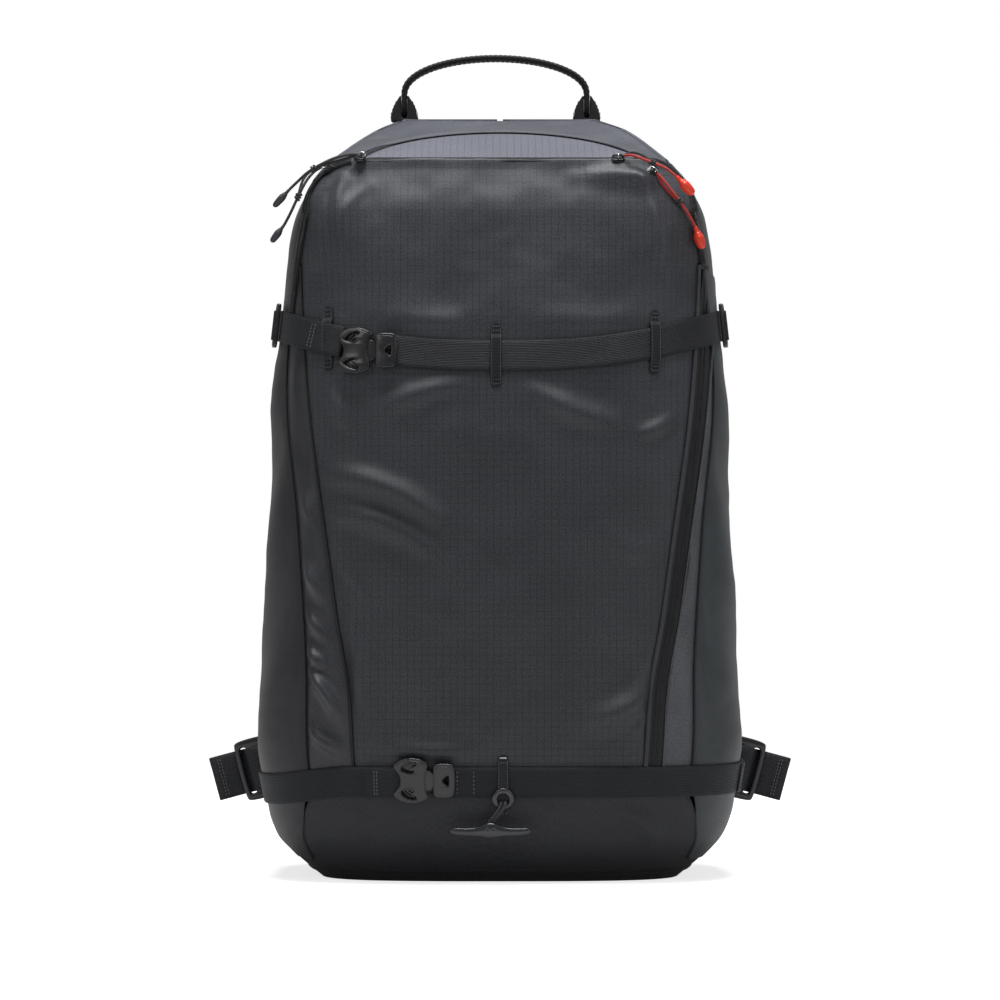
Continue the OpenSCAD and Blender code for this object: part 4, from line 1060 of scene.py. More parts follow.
def foldStrip(name, phi, z, wide, lift, material, roll=1.1, body="pack"):
    # Rolled edge of cloth along a line over the skin
    path, o = lifted(phi, z, lift), outward(phi, z)
    _, across, _ = skinFrames(path, o)
    a = np.linspace(0, 2 * np.pi, 14, endpoint=False)
    half = np.broadcast_to(np.asarray(wide, float) / 2, len(path))[:, None, None]
    points = (path[:, None] + half * np.cos(a)[:, None] * across[:, None]
              + roll * .55 * np.sin(a)[:, None] * o[:, None])
    return makePiece(name, gridPart(points, closed=True, caps=True), material, body)


foldStrip("pocketZipLip", angleAt(panelSeamX(pz) - .6, pz), pz, 3.0, .6, paint["front"], roll=1.5)
foldStrip("gussetZipEdge", angleAt(panelSeamX(pz) + 10.9, pz), pz, 2.0, .3, paint["gusset"], roll=1.2)
# The flap keeps clear of the slider at the left end and hides the zip over the rest
flapA = np.linspace(-arcHalf + 3, arcHalf - 2, 150)
flapWide = 3.6 + 2.9 * ease(-arcHalf + 20, -arcHalf + 30, flapA)
foldStrip("lidZipFlap", *arcAt(flapA, arcR + 7.3 - flapWide / 2), flapWide, .75, paint["rear"], roll=1.7)
# The pocket's top edge is rolled in the dark binding colour: painted shade for the dark gap under the lid
foldStrip("creaseRoll", angleAt(tx, np.full(90, creaseZ - .5)), np.full(90, creaseZ - .5), 1.5,
          .35 + .3 * np.sin(tx / 9) + .15 * np.sin(tx / 4), paint["binding"], roll=1.1)
for side, word in ((-1, "Left"), (1, "Right")):
    sz = np.linspace(bootZ, cornerZ - 4, 150)
    foldStrip("sideSeam" + word, side * angleAt(sideSeamX(sz) + .2, sz), sz, 1.7, .1, paint["binding"],
              roll=1.2)
sz = np.linspace(bootZ, panelTopZ - 3, 120)
foldStrip("panelSeamLeft", -angleAt(panelSeamX(sz) + .1, sz), sz, 1.5, -.1, paint["binding"], roll=1.0)
ba = np.linspace(-180, 180, 260)
foldStrip("bootBinding", ba, 6 + 0 * ba, 5.0, .1, paint["binding"], roll=1.0)
for side, word in ((-1, "Left"), (1, "Right")):
    ba = side * np.linspace(37, 59.8, 50)
    foldStrip("bootSeam" + word, ba, bootTop(ba), 1.4, .2, paint["darkThread"], roll=1.0)
print("zips and seams made")


# Lashing webbing, laid over the skin; the front straps are layers of [ring angle, height] paths
def strapPath(xa, xb, zOf, count, h):
    phi = np.linspace(xa, xb, count)
    z = zOf(skin(phi, np.full(count, zOf(np.zeros(1))[0]))[:, 0])
    path = lifted(phi, z, h)
    _, across, up = skinFrames(path, outward(phi, z))
    return path, across, up


webLift, overWeb, webW = 1.25, 2.3, 20.0


def upperAngle(x):
    # Ring angle of the upper strap at sideways place x
    return float(angleAt(np.array([x]), upperZ(np.array([x])))[0])


def lowerAngle(x):
    # Ring angle of the lower strap at sideways place x
    return float(angleAt(np.array([x]), lowerZ(np.array([x])))[0])


wave = .12 * np.sin(np.linspace(0, 17, 110))
for name, a, b, zOf, material, node in (
        ("upperStrapLeft", -82, upperAngle(-83), upperZ, "webbing", "upper_strap_left"),
        ("upperStrapRight", upperAngle(-79), 82, upperZ, "webbing", "upper_strap_right"),
        ("lowerStrapLeft", -86, lowerAngle(-47), lowerZ, "lowWebbing", "lower_strap_left"),
        ("lowerStrapRight", lowerAngle(-43), 92, lowerZ, "lowWebbing", "lower_strap_right")):
    path, across, up = strapPath(a, b, zOf, 110, webLift + wave)
    makePiece(name, bandPart(path, across, up, webW, 1.5, .6), paint[material], "pack", node)
    makePiece(name + "Stitches", crossStitches(path, across, up, (4, 6), 8, .78, 2.3, 1.6, .3),
              paint["thread"], "pack")


def foldedEnd(name, x0, x1, zOf, material, turnAt, body="pack"):
    # Second layer of webbing that comes back round a buckle's bar, with a stitched row across it
    xs = np.linspace(x0, x1, 40)
    zs = zOf(xs)
    phi = angleAt(xs, zs)
    near = np.abs(xs - turnAt)
    h = webLift + 1.55 + .9 * ease(13, 3, near)
    path = lifted(phi, zs, h)
    along, across, up = skinFrames(path, outward(phi, zs))
    k = 0 if abs(x0 - turnAt) < abs(x1 - turnAt) else -1
    way = along[k] * (1 if k else -1)
    a = np.linspace(0, np.pi, 11)[1:, None]
    curl = path[k] + 1.5 * np.sin(a) * way + 1.5 * (np.cos(a) - 1) * up[k]
    curlAcross = np.broadcast_to(across[k], curl.shape)
    curlUp = np.sin(a) * way + np.cos(a) * up[k]
    parts = (path, curl) if k else (curl[::-1], path)
    whole = np.concatenate(parts)
    sides = np.concatenate((across, curlAcross) if k else (curlAcross, across))
    ups = np.concatenate((up, curlUp) if k else (curlUp[::-1], up))
    makePiece(name, bandPart(whole, sides, ups, webW - .2, 1.4, .6), paint[material], body)
    marks = (14, 11) if k else (25, 28)
    makePiece(name + "Stitches", crossStitches(path, across, up, marks, 8, .72, 2.2, 1.6, .34),
              paint["thread"], body)


foldedEnd("upperFoldLeft", -128, -101, upperZ, "webbing", -101)
foldedEnd("lowerFoldLeft", -86, -64, lowerZ, "lowWebbing", -64)
# A folded tab finishes the lower strap's right end
path, across, up = strapPath(76, 91, lowerZ, 24, webLift + 1.5)
tabWidth = (webW - .4) * np.sqrt(np.clip(1 - (1 - np.minimum(1, np.arange(24) / 3.0)) ** 2 * .3, .3, 1))
makePiece("lowerTab", bandPart(path, across, up, tabWidth, 1.6, .7), paint["lowWebbing"], "pack")
makePiece("lowerTabStitches", crossStitches(path, across, up, (4, 18), 8, .84, 2.3, 1.6, .34),
          paint["darkThread"], "pack")

# Keeper bands: sewn down above and below, with rounded ends
keeperParts, keeperStitches, staples = [], [], []
for x, zMid, reach, down in ((-.70 * halfW, None, 21, 20), (-2.5, None, 21, 20), (.63 * halfW, None, 21, 20),
                             (2, float(lowerZ(0)), 17, 22)):
    zMid = float(upperZ(x)) if zMid is None else zMid
    z = np.linspace(zMid - down, zMid + reach, 60)
    over = ease(webW / 2 + 4.2, webW / 2 + .6, np.abs(z - zMid))
    h = .8 + (overWeb - .3) * over + .5 * over * (1 - ((z - zMid) / 10) ** 2).clip(0)
    phi = angleAt(np.full(60, x), z)
    path = lifted(phi, z, h)
    along, across, up = skinFrames(path, outward(phi, z))
    fromEnd = np.minimum(z - z[0], z[-1] - z)
    width = 6.8 * np.sqrt(np.clip(1 - (1 - np.minimum(1, (fromEnd + .15) / 2.6)) ** 2, .02, 1))
    keeperParts.append(bandPart(path, across, up, width, 1.1, .45))
    for k in (3, 7, 52, 56):
        keeperStitches += crossStitches(path, across, up, (k,), 2.5, .6, 1.3, 1.1, .26, 6)
    for side in (-1, 1):
        keeperStitches.append(stitchPart(path[3:57:2] + side * 2.75 * across[3:57:2] + .58 * up[3:57:2],
                                         up[3:57:2], 2.0, 1.3, .2))
    if reach == 17:
        staples.append(scattered(pill(4.6, .7, .6), path[-3:-2] + .7 * up[-3:-2], across[-3:-2], along[-3:-2],
                                 up[-3:-2]))
makePiece("keepers", keeperParts, paint["keeper"], "pack", "keepers")
makePiece("keeperStitches", keeperStitches, paint["thread"], "pack")
makePiece("keeperStaple", staples, paint["bright"], "pack")
print("webbing made")


# Side-release buckles: a winged socket and a plug with a triangular hole
socketHalf = [(-.4, 11.2), (-4, 13.4), (-8, 14.6), (-12, 14.7), (-16, 14.0), (-20, 12.2), (-22.4, 9.6),
              (-21.2, 6.6), (-18.6, 4.0), (-17.6, 0)]
otherHalf = [(x, -y) for x, y in socketHalf[-2::-1]]
socketLoop = rounded(socketHalf + otherHalf + [(-1.8, -6.0), (-2.5, 0), (-1.8, 6.0)], 3)
windowTop = [(-17.6, 8.1), (-14.0, 11.2), (-8.4, 12.6), (-7.6, 10.2), (-11.4, 8.6), (-8.6, 6.2), (-11.6, 4.6),
             (-16.9, 6.6)]
clipLoop = rounded([(3.2, -11.1), (13.4, -11.1), (15.4, -9.6), (16.0, -5.5), (16.2, 0), (16.0, 5.5),
                    (15.4, 9.6), (13.4, 11.1), (3.2, 11.1), (2.6, 7.0), (2.6, -7.0)], 3)
holeLoop = rounded([(7.9, 0), (12.0, 3.7), (12.3, 0), (12.0, -3.7)], 2, .18)
neckLoop = rounded([(-12, -6.4), (3.6, -7.4), (3.6, 7.4), (-12, 6.4)], 2)


def scaledLoop(loop, amount, middle):
    # Distance of each point from the middle times the amount
    return (np.array(loop) - middle) * amount + middle


def buckle(word, place, node):
    # Side-release buckle: receiving half with windows and ribs, and plug half with a rim
    windows = [rounded(windowTop, 2), rounded([(x, -y) for x, y in windowTop[::-1]], 2)]
    shell = platePart([socketLoop] + windows, 3.6, .7, place, bend=140, lift=.9)
    raisedLoops = [scaledLoop(socketLoop, .9, [-10.5, 0])] + [scaledLoop(w, 1.14, w.mean(0)) for w in windows]
    raised = platePart(raisedLoops, .9, .35, place, bend=140, lift=4.2)
    floor = platePart([scaledLoop(socketLoop, .93, [-10.5, 0])], 1.2, .4, place, bend=140, lift=.1)
    ribs = []
    for side in (-1, 1):
        for u0, v0, u1, v1 in ((-15.4, 7.4, -11.2, 11.6), (-13.0, 6.6, -8.8, 11.6)):
            way = np.array([u1 - u0, (v1 - v0)])
            way = way / np.linalg.norm(way) * .45
            cross = np.array([-way[1], way[0]])
            p, q = np.array([u0, v0]), np.array([u1, v1])
            bar = np.array([p - cross, q - cross, q + cross, p + cross]) * [1, side]
            ribs.append(platePart([rounded(bar if side > 0 else bar[::-1], 1)], 1.8, .25, place, bend=140,
                                  lift=.9))
    makePiece(word + "Socket", [shell, raised, floor] + ribs, paint["plastic"], "pack", node + "_socket",
              smooth=35)
    plug = platePart([clipLoop, holeLoop], 3.9, .8, place, bend=140, lift=.5)
    rim = platePart([scaledLoop(clipLoop, .84, [9.4, 0]), scaledLoop(holeLoop, 1.3, [11, 0])], .8, .3, place,
                    bend=140, lift=4.1)
    neck = platePart([neckLoop], 2.2, .4, place, bend=140, lift=1.2)
    makePiece(word + "Clip", [plug, rim, neck], paint["plastic"], word + "_clip", node + "_clip",
              smooth=35)


buckle("upper", onSkin(upperAngle(-81), 341.0, overWeb), "upper_buckle")
buckle("lower", onSkin(lowerAngle(-45), 68.0, overWeb), "lower_buckle")

# Two-slot adjusters near the ends of the upper strap, with the webbing woven through
sideZ = float(upperZ(.92 * halfW))
for side, word in ((-1, "Left"), (1, "Right")):
    spot = onSkin(side * 79.0, sideZ, overWeb)
    slots = [box2(-3.9, -1.3, -12, 12, .9, 2), box2(1.3, 3.9, -12, 12, .9, 2)]
    frameLoop = box2(-5, 5, -14.5, 14.5, 1.8, 3)
    makePiece("triglide" + word, platePart([frameLoop] + slots, 2.6, .7, spot),
              paint["shinyPlastic" if side > 0 else "plastic"], "pack",
              "upper_triglides" if side < 0 else (), smooth=35)
    c, s, o, u = spot
    bend = smoothPath([(-10, 0, -.6), (-5.4, 0, -.3), (-3.0, 0, .9), (-1.4, 0, 3.0), (0, 0, 3.5),
                       (1.4, 0, 3.0), (3.0, 0, .9), (5.4, 0, -.3), (10, 0, -.6)], 5)
    woven = c + bend[:, :1] * s + bend[:, 2:] * o
    along = unit(np.gradient(woven, axis=0))
    sides = np.broadcast_to(u, woven.shape)
    makePiece("triglideWeb" + word, bandPart(woven, sides, np.cross(along, sides), 19.4, 1.2, .5),
              paint["webbing"], "pack")

# Grommet, with the elastic out of its hole and a gull-wing toggle
grommetPlace = onSkin(lowerAngle(2.0), 56.0, overWeb + 1.3)
ringProfile = [(3.5, -.6), (3.35, .2), (3.7, .95), (4.6, 1.35), (5.8, 1.3), (6.8, .9), (7.35, .3), (7.4, -.2),
               (7.1, -.6)]
makePiece("grommet", lathePart(ringProfile, grommetPlace, 48), paint["metal"], "pack", "toggle_grommet",
          smooth=60)
a = np.linspace(0, 2 * np.pi, 24, endpoint=False)
discLoop = 3.7 * np.stack([np.cos(a), np.sin(a)], -1)
# A dark disc sunk in the grommet's hole: painted shade for the depth of the hole
makePiece("grommetHolePaintedShade", platePart([discLoop], .4, .1, grommetPlace, lift=-.9), paint["binding"], "pack")
elasticPath = smoothPath([(2, -96, 53.3), (2, -98.2, 52.3), (1, -99.3, 49.5), (-1, -99.6, 46.5),
                          (-3.5, -99.3, 43.7), (-5.5, -98.5, 41.2)], 8)
strands = []
for side in (-1, 1):
    swell = np.sin(np.linspace(0, np.pi, len(elasticPath)))[:, None]
    strand = elasticPath + side * np.array([1.35, 0, .35]) * (.75 + .5 * swell) + swell * [0, -.3 * side, 0]
    strands.append(tubePart(np.concatenate([strand, strand[-1:] + [[0, .4, -3.2]]]), .95, side=(1, .1, 0),
                            ring=10))
makePiece("toggleCord", strands, paint["blackCord"], "toggle", "toggle_cord")


def squared(v):
    # Sine or cosine pushed towards 1 by the power .62, its sign kept
    return np.sign(v) * np.abs(v) ** .62


# The toggle: squarish rings along its length, thick in the middle, with round tips and raised ends
wingX = np.linspace(-26, 26, 61)
fromMiddle = np.abs(wingX) / 26
tip = np.sqrt(np.clip(1 - np.clip((np.abs(wingX) - 22.5) / 3.6, 0, 1) ** 2, .02, 1))
halfHigh = (3.1 - 1.0 * fromMiddle) * tip + 1.9 * hump(wingX, 6.5)
deep = (3.3 - 1.4 * fromMiddle) * tip
wingZ = 34.2 + 1.6 * hump(wingX, 9) + 1.1 * fromMiddle**2
a = np.linspace(0, 2 * np.pi, 20, endpoint=False)
wingY = -98.5 + deep[:, None] * squared(np.sin(a))
wing = np.stack([wingX[:, None] - 6 + 0 * wingY, wingY,
                 wingZ[:, None] + halfHigh[:, None] * squared(np.cos(a))], -1)
eyelet = [(.5, 0), (1.5, 0), (1.7, .35), (1.2, .5), (.5, .3)]
holes = [lathePart(eyelet, (np.array([x, -101.6, 36.4]), xWay, -yWay, zWay), 16) for x in (-8.0, -4.0)]
makePiece("toggle", [gridPart(wing, closed=True, caps=True)] + holes, paint["shinyPlastic"], "toggle",
          "toggle", smooth=55)
print("buckles, adjusters and toggle made")


# Carry loop: one ribbon whose round ends turn between two sewn feet
loopSet = {"x": -3.0, "y": 50.0, "width": 122.0, "rise": 32.0, "web": 16.0, "thick": 3.4, "foot": 509.5}
a = np.radians(np.linspace(0, 180, 61))
endR = loopSet["web"] / 2
archX = loopSet["x"] + loopSet["width"] / 2 * np.cos(a)
archZ = loopSet["foot"] + endR + (loopSet["rise"] - endR) * np.sin(a) ** .92
down = np.linspace(-endR + .2, endR - .5, 18)
legs = [np.stack([loopSet["x"] + s * loopSet["width"] / 2 + 0 * d, loopSet["y"] + 0 * d,
                  loopSet["foot"] + d], -1)
        for s, d in ((1, down), (-1, down[::-1]))]
ribbon = np.concatenate([legs[0], np.stack([archX, np.full(61, loopSet["y"]), archZ], -1), legs[1]])
ribbonAlong = unit(np.gradient(ribbon, axis=0))
ribbonAcross = np.broadcast_to(yWay, ribbon.shape)
ribbonUp = unit(np.cross(ribbonAcross, ribbonAlong)) * -1
endShare = np.ones(len(ribbon))
endShare[:18] = np.sqrt(np.clip(1 - np.clip(-down / endR, 0, 1) ** 2, .03, 1))
endShare[-18:] = endShare[:18][::-1]
makePiece("carryLoop", bandPart(ribbon, ribbonAcross, ribbonUp, loopSet["web"] * endShare, loopSet["thick"],
                                1.2), paint["loopWebbing"], "carry_loop", "haul_loop")
sewn, sewnUp = ribbon[14:-14], ribbonUp[14:-14]
rows = [stitchPart(sewn + w * yWay + h * (loopSet["thick"] / 2 + .05) * sewnUp, sewnUp * h, 3.2, 2.2, .34)
        for w in (-5.8, 5.8) for h in (-1, 1)]
makePiece("carryLoopStitches", rows, paint["darkThread"], "carry_loop")
footLoop = rounded([(-9, -11), (-8.8, -7), (-7.8, -2.4), (-6.0, 1.6), (-4.2, 4.6), (-2.9, 6.6), (-2.0, 6.6),
                    (-1.95, -8.4), (1.95, -8.4), (2.0, 6.6),
                    (2.9, 6.6), (4.2, 4.6), (6.0, 1.6), (7.8, -2.4), (8.8, -7), (9, -11)], 2, .2)
feet, footStitches = [], []
for side in (-1, 1):
    c = np.array([loopSet["x"] + side * loopSet["width"] / 2, loopSet["y"] + 7, loopSet["foot"]])
    feet.append(platePart([footLoop], 14, 1.0, (c, xWay, -yWay, zWay)))
    for cheek in (-1, 1):
        for y in (-4.6, 4.6):
            line = np.stack([c[0] + cheek * np.array([9.0, 8.8, 6.9, 5.2]), np.full(4, loopSet["y"] + y),
                             loopSet["foot"] + np.array([-9, -5, 0, 3.6])], -1)
            footStitches.append(stitchPart(line, np.broadcast_to([cheek, 0, .3], line.shape), 2.6, 1.8, .32))
makePiece("loopFeet", feet, paint["binding"], "pack", "haul_loop_feet", smooth=35)
makePiece("loopFootStitches", footStitches, paint["thread"], "pack")
print("carry loop made")


# Zip sliders: two plates, a wedge between them, and a bridge that carries the pull cord
sliderLoop = rounded([(-4.5, -1.8), (-3.2, -3.7), (2.4, -3.5), (4.5, -2.3), (4.5, 2.3), (2.4, 3.5),
                      (-3.2, 3.7), (-4.5, 1.8)], 2)


def sliderPiece(name, spot, body, node):
    # Zip slider: two plates with a wedge between, a bridge over them, and a ring as its own piece
    c, s, o, u = spot
    lower = platePart([sliderLoop], .8, .25, spot, lift=0)
    wedge = platePart([scaledLoop(sliderLoop, .55, [0, 0])], 1.2, .2, spot, lift=.4)
    upper = platePart([scaledLoop(sliderLoop, .94, [0, 0])], .9, .3, spot, lift=1.0)
    t = smoothPath([(-3.2, 1.5), (-2.9, 3.1), (-1.6, 3.75), (1.6, 3.75), (2.9, 3.1), (3.2, 1.5)], 5)
    bridge = tubePart(c + t[:, :1] * s + t[:, 1:] * o, .62, side=u, ring=10, squash=1.0)
    a = np.linspace(0, 2 * np.pi, 28, endpoint=False)
    ringLine = c + 3.0 * o + (2.6 * np.cos(a) - .8)[:, None] * u + (1.5 * np.sin(a) + .6)[:, None] * o
    tube = tubePart(np.concatenate([ringLine, ringLine[:2]]), .46, side=s, ring=8)
    makePiece(name, [lower, wedge, upper, bridge], paint["plastic"], body, node, smooth=40)
    makePiece(name + "Ring", tube, paint["bright"], body)


normalTop = np.array([0, -sinTop, cosTop])
sinArc, cosArc = math.sin(math.radians(arcHalf)), math.cos(math.radians(arcHalf))
arcRun = arcR * cosArc - (arcR - lidRise)
arcWay = np.array([cosArc, sinArc * cosTop, sinArc * sinTop])
arcPlace = np.array([-arcR * sinArc, creaseY + arcRun * cosTop, creaseZ + arcRun * sinTop]) + .5 * normalTop
sliderPiece("mainSliderUpper", (arcPlace, arcWay, normalTop, np.cross(arcWay, -normalTop)), "main_slider_a",
            "main_slider_upper")
lowB = math.radians(31)
bx, bz = cornerX + cornerR * math.sin(lowB), cornerZ + cornerR * math.cos(lowB)
sliderPiece("mainSliderLower", onSkin(-float(angleAt(bx, bz)), bz, .6, 31), "main_slider_b",
            "main_slider_lower")
sliderPiece("pocketSliderUpper", onSkin(float(angleAt(76.0, creaseZ)), creaseZ, .4), "pocket_slider_a",
            "pocket_slider_upper")
sliderPiece("pocketSliderLower", onSkin(float(angleAt(98.0, creaseZ - 8)), creaseZ - 8, .6, -50),
            "pocket_slider_b", "pocket_slider_lower")


# Pads: closed foam forms that swell under pressure, then take their sewn channels and piping
def padForm(low, high, share):
    # Closed form between two surfaces that meet along its rim; share runs from 0 at the rim to 1
    middle = (low + high) / 2
    top, bottom = middle + (high - middle) * share[..., None], middle + (low - middle) * share[..., None]
    rings = np.concatenate([top, bottom[:, -2:0:-1]], 1)
    return gridPart(rings, closed=True, caps=True)


def roundEdge(count, reach):
    # Quarter circle up from each end of a row of places, 1 between
    v = np.minimum(np.arange(count), np.arange(count)[::-1]) / reach
    return np.sqrt(np.clip(1 - (1 - np.minimum(1, v + .12)) ** 2, .02, 1))


def rimShare(rows, cols, ends, sides):
    # Round edges along the rows times round edges along the columns
    return roundEdge(rows, ends)[:, None] * roundEdge(cols, sides)


puffed = []


def padPiece(name, part, body, node, cap, channels, fill=.6):
    # Pad that is puffed later, with its cap and its sewn channels
    piece = makePiece(name, part, paint["mesh"], body, node, smooth=180)
    puffed.append({"piece": piece, "cap": cap, "channels": channels, "fill": fill})
    return piece


def evaluated(piece):
    # Mesh of a piece with its modifiers in it
    bpy.context.view_layer.update()
    return bpy.data.meshes.new_from_object(piece.evaluated_get(bpy.context.evaluated_depsgraph_get()))


def pointsOf(mesh):
    # Points of a mesh as rows of x, y and z
    co = np.empty(len(mesh.vertices) * 3)
    mesh.vertices.foreach_get("co", co)
    return co.reshape(-1, 3)


def takeMesh(piece, mesh):
    # Gives a piece another mesh, smooth and with its material, and takes its modifiers off
    old = piece.data
    if not mesh.materials:
        mesh.materials.append(old.materials[0])
    mesh.polygons.foreach_set("use_smooth", np.ones(len(mesh.polygons), bool))
    piece.modifiers.clear()
    piece.data = mesh
    bpy.data.meshes.remove(old)


def puffAll():
    # Voxel remesh and Cloth under pressure for every pad at once, each point held within its cap
    for pad in puffed:
        piece = pad["piece"]
        even = piece.modifiers.new("even", "REMESH")
        even.mode, even.voxel_size = "VOXEL", 4.0 * mm
        takeMesh(piece, evaluated(piece))
        pad["start"] = pointsOf(piece.data)
        cloth = piece.modifiers.new("puff", "CLOTH")
        cloth.settings.use_pressure, cloth.settings.uniform_pressure_force = True, 4
        cloth.settings.effector_weights.gravity = 0
        cloth.settings.quality = 4
        cloth.point_cache.frame_start, cloth.point_cache.frame_end = 1, 20
    for frameNumber in range(1, 21):
        bpy.context.scene.frame_set(frameNumber)
    for pad in puffed:
        piece, start = pad["piece"], pad["start"]
        mesh = evaluated(piece)
        moved = pointsOf(mesh) - start
        far = np.linalg.norm(moved, axis=1, keepdims=True)
        points = start + moved * np.minimum(1, pad["cap"] * mm / np.maximum(far, 1e-9))
        normals = np.empty(len(start) * 3)
        mesh.vertices.foreach_get("normal", normals)
        points = points - normals.reshape(-1, 3) * (pad["channels"](points / mm) * mm)[:, None]
        mesh.vertices.foreach_set("co", points.ravel())
        mesh.update()
        takeMesh(piece, mesh)
        finer = piece.modifiers.new("finer", "SUBSURF")
        finer.levels = finer.render_levels = 1
    bpy.context.scene.frame_set(1)


def backForm(sineShare, z0, z1, thick, rows, cols, inset):
    # Pad on the back from z0 to z1, between two surfaces at even distances off the skin
    half = math.degrees(math.asin(sineShare ** 2.5))
    s = np.linspace(-1, 1, cols)[None, :]
    z = np.linspace(z0 + inset, z1 - inset, rows)[:, None]
    phi = 180 + s * half * .985 + 0 * z
    zz = z + 0 * s
    return padForm(lifted(phi, zz, .9), lifted(phi, zz, thick - inset * .4), rimShare(rows, cols, 6, 5))


def backChannels(p):
    # Depth of the channels: two upright ones near the middle and five sloping ones outside them
    x, z = p[:, 0], p[:, 2]
    lines = sum(hump(z - level - .10 * np.abs(x), 2.6) for level in (182, 232, 282, 332, 382))
    return 3.2 * np.clip(lines * (np.abs(x) > 12) + hump(np.abs(x) - 12, 3), 0, 1) * (p[:, 1] > backY + 4)


def lumbarChannels(p):
    # Depth of the channels: two upright ones and one across between them
    x, z = np.abs(p[:, 0]), p[:, 2]
    return 3.4 * np.clip(hump(x - 26, 3) + hump(z - 79, 3) * (x < 26), 0, 1) * (p[:, 1] > backY + 5)


padPiece("backPad", backForm(.66, 152, sideTopZ - 12, 10.3, 76, 52, 1.4), "pack", "back_pad", 1.4,
         backChannels)
padPiece("lumbarPad", backForm(.55, 36, 122, 15.3, 30, 44, 1.6), "pack", "lumbar_pad", 1.5,
         lumbarChannels)


def shoulderAt(side, t):
    # Middle line of a shoulder pad, bowed out and back by half a sine
    bow = np.sin(np.pi * t)
    return np.stack([side * (52 + 34 * ease(0, 1, t) + 6 * bow), 107.24 - 8 * (1 - ease(0, .2, t)) + 32 * bow,
                     453 - 285 * t], -1)


def finAt(side, t):
    # Middle line of a hip fin, bending away from the back with t squared
    return np.stack([side * (62.8 + 86 * t), 112.14 + 10 * t**2, 79 - 12 * t], -1)


def sweptForm(path, side, width, thick, cols=30):
    # Flat pad carried along a path, with round edges
    along, across, up = pathFrames(path, side)
    s = np.linspace(-1, 1, cols)[None, :, None]
    width = np.broadcast_to(width, len(path))[:, None, None] / 2
    base = path[:, None] + s * width * across[:, None]
    return padForm(base - thick / 2 * up[:, None], base + thick / 2 * up[:, None],
                   rimShare(len(path), cols, 4, 4))


def piping(name, path, side, width, radius, body):
    # Rolled binding round a pad's rim
    along, across, up = pathFrames(path, side)
    width = np.broadcast_to(width, len(path))[:, None] / 2
    rim = np.concatenate([path + across * width, (path - across * width)[::-1]])
    line = smoothPath(np.concatenate([rim, rim[:2]]), 2)
    makePiece(name, tubePart(line, radius, side=up.mean(0), ring=10, squash=1.25), paint["binding"], body)


